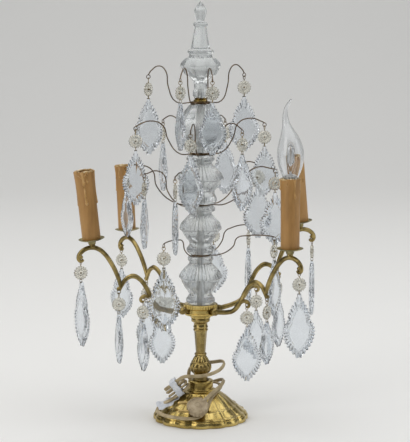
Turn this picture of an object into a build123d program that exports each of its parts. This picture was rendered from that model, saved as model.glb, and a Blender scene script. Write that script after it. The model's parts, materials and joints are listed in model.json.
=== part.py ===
from build123d import *
import os
from math import cos, hypot, pi, radians, sin, sqrt, tan

os.makedirs("parts", exist_ok=True)

# A table girandole: a cast brass foot and shaft, a stack of pressed glass vases on a
# through rod, four brass candle arms, four sprays of wire and hanging glass drops.
# Millimetres, +Z up, the floor is z = 0 and the front of the girandole looks along -Y.
# An azimuth is 0 towards the front and grows to the right, seen from above.

# Running and seating clearances
fit_gap = 0.15
rod_gap = 0.3
seat_gap = 0.3

# Through rod with its nuts
rod_radius = 3.0
nut_across = 10.0
nut_height = 5.0
rod_hole = rod_radius + rod_gap

# Foot casting: scalloped rim, lobed dome, drum
foot_radius = 65.0
foot_lobes = 8
foot_bulge = 2.6
foot_wide_share = 0.62
rim_base = 3.0
rim_height = 9.5
dome_step_height = 18.0
dome_step_radius = 51.0
dome_top_height = 25.0
dome_top_radius = 41.0
shoulder_radius = 25.5
shoulder_height = 37.5
drum_radius = 17.0
drum_height = 54.0
drum_edge = 1.5
foot_wall = 3.5
pad_thickness = 1.2
pad_radius = 58.5
pad_gap = 0.4
pad_ledge = 2.0
drum_roof = 6.0

# Shaft casting: neck, knop, faceted shaft, flange
neck_radius = 9.0
neck_height = 10.0
knop_radius = 15.5
knop_height = 25.0
knop_lobes = 10
knop_bulge = 1.4
shaft_sides = 8
shaft_foot_radius = 6.4
shaft_head_radius = 8.6
shaft_height = 36.0
collar_radius = 10.0
collar_height = 11.0
flange_radius = 12.7
flange_height = 5.0

# Hub that carries the arms
hub_radius = 22.5
hub_boss_radius = 14.0
hub_boss_height = 4.0
hub_band_height = 4.0
hub_groove_radius = 20.0
hub_groove_height = 5.5
hub_reeds = 24
hub_reed_bulge = 0.8
hub_reed_height = 6.0
mortise_depth = 5.0

# Glass vases and the rings between them
vase_height = 66.0
vase_bore = 4.5
ring_radius = 13.0
ring_thickness = 3.0
globe_sides = 8
vase_ribs = 12
rib_share = 0.93

# Spire and its collar
spire_collar_radius = 9.5
spire_collar_height = 5.0
spire_height = 128.5
spire_sides = 8
spire_socket_depth = 16.0

# Wire sprays: one wire to each drop
wire_width = 1.5
wire_steps = 9

# Linked rings: the one on the wire or arm, and the one on the drop's pin
link_bore = 2.0
link_bar = 1.0
link_gap = 0.4

# Drops: pin, button, pin and leaf-shaped pendant
pin_width = 1.2
button_radius = 9.6
button_thickness = 5.0
button_sides = 8
button_table = 0.5
button_gap = 2.2
leaf_thickness = 8.0
leaf_table = 0.62
leaf_swing_deg = 15.0

# Arms
arm_radius = 3.2
arm_steps = 11
arm_tenon_width = 4.0
arm_tenon_height = 4.0
arm_reach = 158.0
arm_root = 28.0
arm_crest = 241.0
arm_ball = 3.4
boss_radius = 4.6
boss_rise = 5.6

# Candles on the arms
pan_radius = 17.5
pan_dish = 3.2
pan_wall = 0.9
pan_nut_radius = 5.5
pan_nut_height = 4.0
sleeve_radius = 13.0
sleeve_wall = 1.3
sleeve_height = 92.0
sleeve_sides = 24
sleeve_mouth_depth = 18.0
holder_radius = 10.4
holder_stem_radius = 6.5
holder_cup_height = 30.0
thread_radius = 7.05
thread_depth = 22.0

# Candle bulb with a bent tip
bulb_radius = 17.5
bulb_height = 121.0
bulb_neck_radius = 6.2
bulb_sides = 12
bulb_cap_radius = 6.8
bulb_cap_height = 20.0

# Mains cord, its hank, the paper tie and the round plug
cord_diameter = 4.6
cord_sides = 5
cord_seat_height = 45.0
bush_radius = 4.0
bush_reach = 19.0
bush_azimuth = 150.0
hank_runs = 7
hank_run_length = 14.0
hank_turn_radius = 7.0
hank_pitch = 5.3
tie_thickness = 0.8
tie_width = 9.0
tie_gap = 0.5
plug_radius = 15.0
plug_thickness = 9.0
plug_ribs = 18
plug_rib_depth = 0.7
collar_reach = 2.0
plug_pin_radius = 2.0
plug_pin_length = 15.0
plug_pin_spacing = 15.0

# Heights that follow from the stack
knop_base = drum_height + neck_height
shaft_base = knop_base + knop_height
collar_base = shaft_base + shaft_height
flange_base = collar_base + collar_height
hub_base = flange_base + flange_height
groove_base = hub_base + hub_boss_height + hub_band_height
hub_top = groove_base + hub_groove_height + hub_reed_height
tier_pitch = vase_height + ring_thickness
vase_bases = [hub_top + n * tier_pitch for n in range(4)]
ring_bases = [base + vase_height for base in vase_bases]
spire_collar_base = ring_bases[3] + ring_thickness
spire_base = spire_collar_base + spire_collar_height
rod_low = drum_height - drum_roof - nut_height - 4.0
rod_high = spire_base + spire_socket_depth - 4.0


def ring_of(radius, height, sides):
    """The corners of a regular polygon about the Z axis."""
    turn = 2 * pi / sides
    return [(radius * cos(n * turn), radius * sin(n * turn), height) for n in range(sides)]


def polygon(*corners):
    """The flat face with these corners."""
    return make_face(Polyline(*corners, close=True))


def turned(*points, sides=24):
    """A many-sided solid about the Z axis from its outline, given as (radius, height) pairs."""
    faces = []
    for (r1, z1), (r2, z2) in zip(points, points[1:] + points[:1]):
        if max(r1, r2) == 0:
            continue
        low, high = ring_of(r1, z1, sides), ring_of(r2, z2, sides)
        if z1 == z2:
            wide = polygon(*ring_of(max(r1, r2), z1, sides))
            narrow = min(r1, r2)
            faces.append(wide - polygon(*ring_of(narrow, z1, sides)) if narrow else wide)
            continue
        for n in range(sides):
            corners = [low[n], low[(n + 1) % sides], high[(n + 1) % sides], high[n]]
            faces.append(polygon(*list(dict.fromkeys(corners))))
    solid = Solid(Shell([face.face() for face in faces]))
    return solid if solid.volume > 0 else Solid(solid.wrapped.Reversed())


def prism(radius, low, high, sides=12):
    """A many-sided rod about the Z axis, no thinner anywhere than the radius."""
    return Pos(0, 0, low) * extrude(RegularPolygon(radius, sides, major_radius=False), high - low)


def bored(solid, radius, low, high):
    """The solid with a straight hole about the Z axis."""
    return solid - prism(radius, low, high)


def lobed_face(radius, lobes, bulge, wide_share=0.5, segments=2):
    """A flat face whose edge is a ring of bulges, wide and narrow ones in turn."""
    valley = radius - bulge
    points = []
    for n in range(lobes):
        for start, end in ((0, wide_share), (wide_share, 1)):
            share = min(1, 2 * (end - start))
            pieces = segments * 2 if share == 1 else segments
            for k in range(pieces):
                t = k / pieces
                r = valley + 4 * t * (1 - t) * bulge * share
                a = 2 * pi * (n + start + t * (end - start)) / lobes
                points.append((r * cos(a), r * sin(a)))
    return polygon(*points)


def star_face(radius, ribs, share):
    """A flat face whose edge zigzags between the ribs and the flutes of pressed glass."""
    points = []
    for n in range(2 * ribs):
        r = radius if n % 2 == 0 else radius * share
        points.append((r * cos(pi * n / ribs), r * sin(pi * n / ribs)))
    return polygon(*points)


def stacked(*sections):
    """A solid with straight walls between (height, face) sections."""
    return loft([Pos(0, 0, z) * face for z, face in sections], ruled=True)


def around(azimuth, solid):
    """What is drawn in the XZ plane, out along +X, set at its azimuth."""
    return Rot(0, 0, azimuth - 90) * solid


def place(azimuth, reach, height):
    """The point at that azimuth, distance from the axis and height."""
    a = radians(azimuth)
    return Vector(reach * sin(a), -reach * cos(a), height)


def bent_bar(points, face):
    """A bar with that face as its section along straight pieces in the XZ plane."""
    path = Polyline(*[(x, 0, z) for x, z in points])
    start = Plane(origin=path @ 0, x_dir=(0, 1, 0), z_dir=path % 0)
    return sweep(start * face, path=path, transition=Transition.RIGHT)


def smooth_points(points, steps, start, end):
    """Points along a smooth curve through the given ones, with its end directions."""
    curve = Spline(
        *[(x, 0, z) for x, z in points],
        tangents=[(start[0], 0, start[1]), (end[0], 0, end[1])],
    )
    along = [curve @ (n / steps) for n in range(steps + 1)]
    return [(p.X, p.Z) for p in along]


def link_ring(centre, across):
    """A six-sided ring about the point, whose hole looks along the direction across."""
    side = (1, 0, 0) if abs(across[1]) > 0.5 else (0, 1, 0)
    outer = RegularPolygon(link_bore + link_bar, 6, major_radius=False)
    inner = RegularPolygon(link_bore, 6, major_radius=False)
    plane = Plane(origin=centre, x_dir=side, z_dir=across)
    return extrude(plane * (outer - inner), amount=link_bar / 2, both=True)


# The pivot of a drop is the middle of the lowest bar of the ring that carries it.
carrier_rise = link_bore + link_bar / 2
drop_ring_fall = link_bore - link_bar / 2 - link_gap


def foot():
    """Scalloped, hollow casting with a lobed dome, a drum and the bush for the cord."""
    sections = [
        (0, foot_radius),
        (rim_base, foot_radius),
        (rim_height * 0.62, foot_radius * 0.955),
        (rim_height, foot_radius * 0.965),
        (rim_height + 2.0, foot_radius * 0.90),
        (dome_step_height, dome_step_radius),
        (dome_step_height + 1.6, dome_step_radius * 0.95),
        (dome_top_height, dome_top_radius),
    ]
    skirt = stacked(
        *[
            (z, lobed_face(r, foot_lobes, foot_bulge * r / foot_radius, foot_wide_share))
            for z, r in sections
        ]
    )
    inner = dome_top_radius - foot_bulge - 1.0
    dome = turned(
        (0, rim_height),
        (inner, rim_height),
        (inner, dome_top_height + 1.5),
        (inner - 3.0, dome_top_height + 4.5),
        (shoulder_radius, shoulder_height),
        (drum_radius + 2.0, shoulder_height + 2.5),
        (drum_radius, shoulder_height + 4.5),
        (drum_radius, drum_height - drum_edge),
        (drum_radius - drum_edge, drum_height),
        (0, drum_height),
    )
    bush = around(
        bush_azimuth,
        Pos(0, 0, cord_seat_height)
        * Rot(0, 90, 0)
        * prism(bush_radius, drum_radius - 2.0, bush_reach),
    )
    roof = drum_height - drum_roof
    hollow = turned(
        (0, -1),
        (pad_radius + pad_gap, -1),
        (pad_radius + pad_gap, pad_thickness),
        (pad_radius - pad_ledge, pad_thickness),
        (dome_step_radius - foot_wall - 2.0, dome_step_height - foot_wall - 4.0),
        (dome_top_radius - foot_wall - 3.0, dome_top_height - foot_wall),
        (shoulder_radius - foot_wall - 1.0, shoulder_height - foot_wall),
        (drum_radius - foot_wall, shoulder_height),
        (drum_radius - foot_wall, roof),
        (0, roof),
    )
    lead_hole = around(
        bush_azimuth,
        Pos(0, 0, cord_seat_height)
        * Rot(0, 90, 0)
        * prism(cord_diameter / 2 - 0.3, drum_radius - foot_wall - 2.0, bush_reach - 1.0),
    )
    return bored(skirt + dome + bush - hollow - lead_hole, rod_hole, 0, drum_height + 1)


def foot_pad():
    """Guessed felt pad that closes the hollow foot, flush with its rim and up against a ledge."""
    return turned((0, 0), (pad_radius, 0), (pad_radius, pad_thickness), (0, pad_thickness))


def shaft():
    """Neck, gadrooned knop, faceted shaft, collar and flange in one casting."""
    neck = turned(
        (0, drum_height),
        (neck_radius + 2.5, drum_height),
        (neck_radius, drum_height + 2.5),
        (neck_radius, knop_base - 2.0),
        (neck_radius + 2.0, knop_base),
        (0, knop_base),
    )
    knop_profile = ((0, 0.62), (0.16, 0.85), (0.38, 1.0), (0.6, 0.88), (0.82, 0.62), (1, 0.45))
    knop = stacked(
        *[
            (knop_base + h * knop_height, lobed_face(w * knop_radius, knop_lobes, w * knop_bulge))
            for h, w in knop_profile
        ]
    )
    bead = 3.0
    faceted = stacked(
        (shaft_base, RegularPolygon(shaft_foot_radius + 1.6, shaft_sides)),
        (shaft_base + bead, RegularPolygon(shaft_foot_radius, shaft_sides)),
        (collar_base - bead, RegularPolygon(shaft_head_radius, shaft_sides)),
        (collar_base, RegularPolygon(collar_radius, shaft_sides)),
    )
    collar = turned(
        (0, collar_base),
        (collar_radius - 1.5, collar_base),
        (collar_radius, collar_base + 2.0),
        (collar_radius - 1.0, flange_base - 2.0),
        (flange_radius, flange_base),
        (flange_radius, hub_base - 1.0),
        (flange_radius - 1.0, hub_base),
        (0, hub_base),
    )
    return bored(neck + knop + faceted + collar, rod_hole, drum_height - 1, hub_base + 1)


arm_azimuths = (-68.4, 47.6, 111.0, -140.4)
arm_names = ("front_left", "front_right", "rear_right", "rear_left")
arm_lifts = (2.4, 0.0, 6.0, -4.0)
candle_leans = (6.4, 0.0, -5.5, 4.0)


def hub():
    """Stepped drum with a reeded upper band and a mortise for each arm."""
    body = turned(
        (0, hub_base),
        (hub_boss_radius, hub_base),
        (hub_boss_radius, hub_base + hub_boss_height),
        (hub_radius - 1.0, hub_base + hub_boss_height),
        (hub_radius, hub_base + hub_boss_height + 1.0),
        (hub_radius, groove_base - 1.0),
        (hub_groove_radius, groove_base),
        (hub_groove_radius, groove_base + hub_groove_height),
        (0, groove_base + hub_groove_height),
    )
    reeds = star_face(hub_radius + hub_reed_bulge, hub_reeds, hub_radius / (hub_radius + hub_reed_bulge))
    band = Pos(0, 0, groove_base + hub_groove_height) * extrude(reeds, hub_reed_height)
    body = bored(body + band, rod_hole, hub_base - 1, hub_top + 1)
    slot = Box(
        mortise_depth + 4,
        arm_tenon_width + 2 * fit_gap,
        arm_tenon_height + 2 * fit_gap,
        align=(Align.MIN, Align.CENTER, Align.CENTER),
    )
    for azimuth in arm_azimuths:
        body -= around(azimuth, Pos(hub_groove_radius - mortise_depth, 0, arm_root_height) * slot)
    return body


arm_root_height = groove_base + hub_groove_height / 2


def lifted(points, angle):
    """Points of an arm turned up about its root by that angle in degrees."""
    c, s = cos(radians(angle)), sin(radians(angle))
    x0, z0 = arm_root, arm_root_height
    return [(x0 + (x - x0) * c - (z - z0) * s, z0 + (x - x0) * s + (z - z0) * c) for x, z in points]


# Where the three drops of an arm hang: the outer scroll, the tip of the V, the inner scroll
arm_end_seat = (174.0, 222.0)
arm_tip_seat = (119.0, 178.0)
arm_scroll_seat = (84.0, 166.0)


def arm(lift, lean):
    """Double S-curved arm with its tenon, V tip, outer and inner scrolls and drop rings."""
    section = RegularPolygon(arm_radius, 6, rotation=30)
    inner = [
        (arm_root, arm_root_height),
        (44.0, 154.5),
        (60.0, 157.5),
        (72.0, 171.0),
        (81.0, 186.5),
        (99.8, 201.0),
        (114.0, 192.0),
        (arm_tip_seat[0], arm_tip_seat[1] + carrier_rise * 2),
    ]
    outer = [
        (116.5, 186.0),
        (122.0, 203.0),
        (131.0, 219.5),
        (141.5, 233.0),
        (arm_reach, arm_crest),
        (171.0, 237.5),
        (178.5, 229.5),
        (arm_end_seat[0], arm_end_seat[1] + carrier_rise * 2),
    ]
    scroll = [(68.0, 168.0), (76.0, 171.5), (arm_scroll_seat[0], arm_scroll_seat[1] + carrier_rise * 2)]
    inner = smooth_points(lifted(inner, lift), arm_steps, (1, 0), (0.35, -1))
    outer = smooth_points(lifted(outer, lift), arm_steps, (0.2, 1), (-1, -0.4))
    scroll = smooth_points(lifted(scroll, lift), 3, (1, 0.8), (1, -0.4))
    tenon = Pos(hub_groove_radius - mortise_depth + fit_gap, 0, arm_root_height) * Box(
        arm_root - hub_groove_radius + mortise_depth + 1.0,
        arm_tenon_width,
        arm_tenon_height,
        align=(Align.MIN, Align.CENTER, Align.CENTER),
    )
    whole = tenon + bent_bar(inner, section) + bent_bar(outer, section)
    whole += bent_bar(scroll, RegularPolygon(arm_radius * 0.8, 6, rotation=30))
    x, z = lifted([(arm_reach, arm_crest)], lift)[0]
    boss = extrude(RegularPolygon(boss_radius, 8), boss_rise)
    whole += Pos(x, 0, z) * Rot(0, lean, 0) * boss
    for seat in (arm_end_seat, arm_tip_seat, arm_scroll_seat):
        x, z = lifted([seat], lift)[0]
        ball_centre = z + carrier_rise * 2 + arm_ball * 0.4
        whole += Pos(x, 0, ball_centre) * stacked(
            (-arm_ball, RegularPolygon(arm_ball * 0.5, 6)),
            (0, RegularPolygon(arm_ball, 6)),
            (arm_ball, RegularPolygon(arm_ball * 0.5, 6)),
        )
        whole += link_ring((x, 0, z + carrier_rise), (0, -1, 0))
    return whole


def candle_frame(n):
    """The place of candle n: its origin is the seat of the drip pan, its Z the candle's axis."""
    x, z = lifted([(arm_reach, arm_crest)], arm_lifts[n])[0]
    seat = Pos(x, 0, z) * Rot(0, candle_leans[n], 0) * Pos(0, 0, boss_rise)
    return around(arm_azimuths[n], seat)


def drip_pan():
    """Nut and shallow dish."""
    rim = pan_nut_height + pan_dish
    dish = turned(
        (0, pan_nut_height - 1.0),
        (pan_nut_radius + 2.0, pan_nut_height - 0.6),
        (pan_radius - 2.5, pan_nut_height + pan_dish * 0.45),
        (pan_radius, rim - pan_wall * 0.5),
        (pan_radius - 0.6, rim),
        (pan_radius - 3.0, pan_nut_height + pan_dish * 0.45 + pan_wall),
        (pan_nut_radius + 1.5, pan_nut_height + pan_wall),
        (0, pan_nut_height + pan_wall),
        sides=16,
    )
    nut = extrude(RegularPolygon(pan_nut_radius, 8), pan_nut_height - 0.5)
    return nut + dish


candle_base = pan_nut_height + pan_wall
sleeve_base = candle_base + pan_dish * 0.45 + seat_gap
sleeve_top = sleeve_base + sleeve_height
holder_top = sleeve_top - sleeve_mouth_depth


def lampholder():
    """Holder on its stem, with the socket for the bulb's cap and a foot that fits the sleeve."""
    cup_base = holder_top - holder_cup_height
    body = turned(
        (0, candle_base),
        (pan_nut_radius + 1.5, candle_base),
        (pan_nut_radius + 1.5, candle_base + 2.5),
        (holder_stem_radius, candle_base + 4.0),
        (holder_stem_radius, cup_base - 4.0),
        (holder_radius, cup_base),
        (holder_radius, holder_top),
        (0, holder_top),
        sides=14,
    )
    return body - Pos(0, 0, holder_top - thread_depth / 2) * Cylinder(thread_radius, thread_depth)


def wax_run(azimuth, width, low, high):
    """One run of wax down the outside of the sleeve, ending in a bead."""
    reach = sleeve_radius * cos(pi / sleeve_sides)
    run = stacked(
        (low, RegularPolygon(width * 0.55, 6)),
        (low + width, RegularPolygon(width * 0.8, 6)),
        (low + 2.6 * width, RegularPolygon(width * 0.45, 6)),
        (high, RegularPolygon(width * 0.75, 6)),
    )
    return Rot(0, 0, azimuth) * Pos(reach, 0, 0) * run


def sleeve(runs):
    """Card sleeve of a candle with a rolled wax rim and runs of wax, as (azimuth, width, length)."""
    outer = RegularPolygon(sleeve_radius, sleeve_sides)
    inner = RegularPolygon(sleeve_radius - sleeve_wall, sleeve_sides)
    body = Pos(0, 0, sleeve_base) * extrude(outer, sleeve_height)
    for azimuth, width, length in runs:
        body += wax_run(azimuth, width, sleeve_top - length, sleeve_top)
    return body - Pos(0, 0, sleeve_base - 1) * extrude(inner, sleeve_height + 2)


sleeve_runs = (
    ((-95, 1.9, 44), (-125, 1.4, 24), (-40, 1.3, 30)),
    ((-170, 1.6, 24), (-110, 1.3, 17), (150, 1.3, 12)),
    ((170, 1.5, 26), (-120, 1.3, 34)),
    ((60, 1.6, 36), (110, 1.3, 20)),
)


def bulb_cap():
    """Plain metal cap of the bulb, held in the socket."""
    base = holder_top - thread_depth + 2.0
    return turned(
        (0, base - 1.0),
        (3.5, base - 1.0),
        (3.5, base),
        (bulb_cap_radius, base + 2.0),
        (bulb_cap_radius, base + bulb_cap_height),
        (0, base + bulb_cap_height),
        sides=14,
    )


def bulb_glass():
    """Flame-shaped envelope whose tip bends to one side."""
    base = holder_top - thread_depth + 2.0 + bulb_cap_height
    # share of the height, share of the radius, share of the radius to the side
    profile = (
        (0.0, 0.36, 0.0),
        (0.06, 0.44, 0.0),
        (0.16, 0.60, 0.0),
        (0.28, 0.90, 0.0),
        (0.39, 1.0, 0.0),
        (0.49, 0.93, -0.03),
        (0.60, 0.68, -0.12),
        (0.70, 0.36, -0.36),
        (0.79, 0.23, -0.52),
        (0.87, 0.17, -0.52),
        (0.94, 0.13, -0.30),
        (1.0, 0.08, 0.06),
    )
    levels = [
        Pos(bulb_radius * side, 0, base + bulb_height * h)
        * RegularPolygon(bulb_radius * width, bulb_sides)
        for h, width, side in profile
    ]
    return loft(levels, ruled=True)


def tie_rod():
    """Threaded rod through the whole stack, with a nut under the drum's roof."""
    rod = Pos(0, 0, rod_low) * extrude(RegularPolygon(rod_radius, 12), rod_high - rod_low)
    nut_base = drum_height - drum_roof - nut_height
    nut = extrude(RegularPolygon(nut_across / 2, 6, major_radius=False), nut_height)
    return rod + Pos(0, 0, nut_base) * nut


def vase(base, profile):
    """Ribbed pressed vase from (share of the height, radius) pairs."""
    levels = [
        (base + h * vase_height, star_face(r, vase_ribs, 1 - (1 - rib_share) * min(1, r / 30)))
        for h, r in profile
    ]
    return bored(stacked(*levels), vase_bore, base - 1, base + vase_height + 1)


def globe(base):
    """Faceted globe with an equator, which tops the column."""
    profile = (
        (0, 12.0),
        (0.05, 14.5),
        (0.12, 13.0),
        (0.30, 26.5),
        (0.46, 32.5),
        (0.52, 32.5),
        (0.70, 28.5),
        (0.86, 21.5),
        (0.94, 17.0),
        (1, 13.5),
    )
    levels = [(base + h * vase_height, RegularPolygon(r, globe_sides)) for h, r in profile]
    return bored(stacked(*levels), vase_bore, base - 1, base + vase_height + 1)


# Outlines of the three ribbed vases, lowest first, as (share of the height, radius)
lower_profile = (
    (0, 17.5), (0.05, 19.8), (0.10, 19.8), (0.20, 15.6), (0.46, 27.0), (0.58, 29.5),
    (0.68, 26.0), (0.86, 15.5), (0.92, 17.5), (1, 16.5),
)
middle_profile = (
    (0, 16.5), (0.05, 19.2), (0.10, 19.2), (0.21, 15.6), (0.42, 25.0), (0.54, 28.8),
    (0.64, 26.5), (0.83, 15.4), (0.90, 20.0), (1, 18.0),
)
upper_profile = (
    (0, 19.0), (0.05, 22.0), (0.12, 21.5), (0.24, 19.0), (0.38, 27.5), (0.53, 31.5),
    (0.64, 27.5), (0.82, 15.6), (0.90, 19.2), (1, 17.0),
)


def spire():
    """Collar, bulge, ring, faceted cone, ring, neck and bud of the top finial."""
    profile = (
        (0, 8.2), (0.02, 10.4), (0.07, 10.4), (0.11, 8.6), (0.17, 9.4), (0.215, 14.0),
        (0.245, 21.5), (0.34, 27.0), (0.40, 22.5), (0.43, 15.8), (0.455, 15.8),
        (0.475, 17.8), (0.495, 17.6), (0.51, 12.8), (0.735, 7.6), (0.75, 9.5),
        (0.78, 9.5), (0.795, 5.2), (0.91, 8.1), (1, 0.9),
    )
    levels = [(spire_base + h * spire_height, RegularPolygon(r, spire_sides)) for h, r in profile]
    return bored(stacked(*levels), rod_hole, spire_base - 1, spire_base + spire_socket_depth)


def spire_collar():
    """Brass collar that the spire stands on."""
    body = turned(
        (0, spire_collar_base),
        (spire_collar_radius, spire_collar_base),
        (spire_collar_radius, spire_collar_base + 1.5),
        (spire_collar_radius - 2.0, spire_base - 1.5),
        (spire_collar_radius, spire_base),
        (0, spire_base),
        sides=16,
    )
    return bored(body, rod_hole, spire_collar_base - 1, spire_base + 1)


class Tier:
    """One spray of wires on one ring of the column, with its drops."""

    def __init__(self, name, ring, reach, rise, hook, bend, riser, crest, drops):
        self.name = name
        self.base = ring_bases[ring]
        self.reach = reach
        self.rise = rise
        self.hook = hook
        self.bend = bend
        self.riser = riser
        self.crest = crest
        self.drops = drops

    def seat_height(self):
        """Height of the pivots of this tier's drops."""
        return self.base + ring_thickness / 2 + self.hook

    def wire(self):
        """One wire in the XZ plane: out, up in an S, over the crest and down to its ring."""
        z = self.base + ring_thickness / 2
        points = [
            (ring_radius - 2.0, z),
            (self.bend, z + 1.0),
            (self.riser, z + self.rise * 0.45),
            (self.crest - (self.crest - self.riser) * 0.72, z + self.rise * 0.86),
            (self.crest, z + self.rise),
            (self.reach, self.seat_height() + carrier_rise * 2),
        ]
        points = smooth_points(points, wire_steps, (1, 0), (0.1, -1))
        bar = bent_bar(points, Rectangle(wire_width, wire_width))
        return bar + link_ring((self.reach, 0, self.seat_height() + carrier_rise), (0, -1, 0))

    def spray(self):
        """The ring between two vases with all its wires."""
        middle = self.base + ring_thickness / 2
        whole = Pos(0, 0, middle) * (
            extrude(RegularPolygon(ring_radius, 16), ring_thickness / 2, both=True)
        )
        whole = bored(whole, rod_hole, self.base - 1, self.base + ring_thickness + 1)
        wire = self.wire()
        for drop in self.drops:
            whole += around(drop.azimuth, wire)
        return whole


class Drop:
    """One drop: its name, azimuth, pendant length and width, and which way its face looks."""

    def __init__(self, name, azimuth, length, width, face, swing=leaf_swing_deg):
        self.name = name
        self.azimuth = azimuth
        self.length = length
        self.width = width
        self.face = face
        self.swing = swing


# Half widths of a pendant down its length, as shares of its half width and length
leaf_profile = (
    (0.0, 0.12), (0.17, 0.36), (0.30, 0.62), (0.36, 0.58), (0.50, 0.93), (0.63, 1.0), (0.82, 0.70),
)
leaf_middle = 0.55


def leaf(length, width):
    """Leaf-shaped plaque with a flat table each side, its top at the origin, thin along X."""
    right = [(width / 2 * w, (leaf_middle - t) * length) for t, w in leaf_profile]
    left = [(-x, y) for x, y in reversed(right)]
    outline = right + [(0, (leaf_middle - 1) * length)] + left
    small = [(x * leaf_table, y * leaf_table) for x, y in outline]
    full_face = make_face(Polyline(*outline, close=True))
    table_face = make_face(Polyline(*small, close=True))
    half = leaf_thickness / 2
    plaque = stacked((-half, table_face), (0, full_face), (half, table_face))
    return Plane(origin=(0, 0, -leaf_middle * length), x_dir=(0, 1, 0), z_dir=(1, 0, 0)) * plaque


def button():
    """Round cut button, its centre at the origin, thin along X."""
    table = RegularPolygon(button_radius * button_table, button_sides, major_radius=False)
    girdle = RegularPolygon(button_radius, button_sides, major_radius=False)
    half = button_thickness / 2
    disc = stacked((-half, table), (0, girdle), (half, table))
    return Plane(origin=(0, 0, 0), x_dir=(0, 1, 0), z_dir=(1, 0, 0)) * disc


button_cut = button()


def drop_solids(drop):
    """The solids of one drop below its pivot: ring with its pin, button, pin and pendant."""
    turn = Rot(0, 0, drop.face - drop.azimuth)
    ring_low = drop_ring_fall + link_bore + link_bar
    top_pin = link_ring((0, 0, -drop_ring_fall), (1, 0, 0)) + Pos(0, 0, -ring_low) * Box(
        link_bar, pin_width, 2 * (button_drop - ring_low)
    )
    middle = -(button_drop + button_radius)
    low_pin_top = middle - button_radius
    low_pin = Pos(0, 0, low_pin_top - button_gap / 2) * Box(pin_width, pin_width, button_gap)
    pendant = Pos(0, 0, low_pin_top - button_gap) * leaf(drop.length, drop.width)
    return [top_pin, turn * Pos(0, 0, middle) * button_cut, turn * low_pin, turn * pendant]


# Distance from the pivot to the top of the button
button_drop = 4.9

tiers = (
    Tier(
        "top_spray", 3, 70.0, 49.0, 32.0, 33.0, 43.5, 55.0,
        (
            Drop("drop_top_left", -90, 78, 42, -14),
            Drop("drop_top_front_left", -22, 66, 36, -70),
            Drop("drop_top_front_right", 13, 72, 40, 10),
            Drop("drop_top_right", 122, 78, 46, 12),
        ),
    ),
    Tier(
        "upper_spray", 2, 91.0, 46.0, 34.0, 30.0, 46.0, 71.0,
        (
            Drop("drop_upper_left", -72, 77, 38, 0),
            Drop("drop_upper_rear_left", -145, 70, 36, -75),
            Drop("drop_upper_front_left", -8, 79, 40, -30),
            Drop("drop_upper_front_right", 37, 78, 38, 40),
            Drop("drop_upper_right", 107, 70, 42, 10),
            Drop("drop_upper_rear_right", 158, 76, 40, 20),
        ),
    ),
    Tier(
        "middle_spray", 1, 101.0, 52.0, 44.0, 34.0, 60.0, 80.0,
        (
            Drop("drop_middle_left", -47, 70, 34, -100),
            Drop("drop_middle_far_left", -97, 66, 34, -60),
            Drop("drop_middle_front_left", -19, 74, 36, -85),
            Drop("drop_middle_right", 84, 74, 44, 8),
            Drop("drop_middle_rear_right", 128, 76, 44, 5),
        ),
    ),
    Tier(
        "lower_spray", 0, 104.0, 29.0, 24.0, 26.0, 46.0, 66.0,
        (
            Drop("drop_lower_front_left", -27.5, 88, 46, 5),
            Drop("drop_lower_right", 72, 78, 40, 60),
            Drop("drop_lower_rear_right", 140, 84, 42, 95),
            Drop("drop_lower_rear", 170, 72, 44, 15),
        ),
    ),
)

# The three drops of each arm: outer scroll, V tip and inner scroll
arm_drops = (
    (("end", 90, 44, -60), ("tip", 71, 34, -75), ("scroll", 71, 34, -62)),
    (("end", 88, 46, 15), ("tip", 60, 34, 55), ("scroll", 77, 42, 5)),
    (("end", 80, 42, 85), ("tip", 72, 38, 60), ("scroll", 74, 38, 20)),
    (("end", 74, 40, -30), ("tip", 74, 38, 40), ("scroll", 76, 40, 10)),
)
arm_seats = {"end": arm_end_seat, "tip": arm_tip_seat, "scroll": arm_scroll_seat}


# Routes of the cord: from the bush round the right of the drum, under the plug, along the
# rim and up to the hank, and from the hank round the neck and down the right to the plug
hank_centre = Vector(-32.5, -15.0, 46.5)
hank_along = Vector(-0.8, 0.0, -0.6)
hank_side = Vector(0, -1, 0)
hank_out = Vector(-0.6, 0.0, 0.8)
rim_points = [
    (13.75, 23.8, 45),
    (22.0, 24.4, 44.0),
    (27.0, 17.6, 42.8),
    (28, 6.5, 42.6),
    (25.5, -7, 42.3),
    (20, -20, 40.0),
    (14, -31.5, 35.2),
    (9.8, -42.5, 27.7),
    (7, -51, 21.7),
    (0, -59.0, 16.2),
    (-12, -61.5, 14.2),
    (-26, -58.2, 13.8),
    (-40, -50, 13.8),
    (-53, -38.5, 14.0),
    (-60.3, -28, 17.0),
    (-54.5, -22.3, 24.3),
]
neck_points = [
    (-12, -23.8, 63.8),
    (1, -23.6, 63.9),
    (14.5, -20.0, 66),
    (27.5, -12.0, 70.5),
    (33.5, 1, 76.5),
    (29.5, 15.5, 77),
    (18.5, 24.5, 73),
    (5.5, 27, 71.5),
    (-7.3, 28, 70.3),
    (-16.5, 29, 61.3),
    (-16.5, 30, 48.3),
    (-7, 32, 39.3),
    (6, 35.5, 39.0),
    (18.5, 36, 42.7),
    (28, 28.5, 47.5),
    (32, 15, 50.3),
    (31.2, 1, 50.3),
    (28, -12, 48.5),
    (21.5, -24, 45.5),
]
hank_lead = 10.5
plug_lead = 9.0
plug_centre = Vector(-4.0, -54.0, 28.5)
plug_tilt_deg = 36.0
plug_lead_deg = 52.0


def cord_radii(points):
    """The largest tangent arc that each corner of the route has room for."""
    radii = []
    for before, here, after in zip(points, points[1:], points[2:]):
        a, b = here - before, after - here
        turn = radians(a.get_angle(b))
        radii.append(0.45 * min(a.length, b.length) / tan(turn / 2))
    return radii


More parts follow.
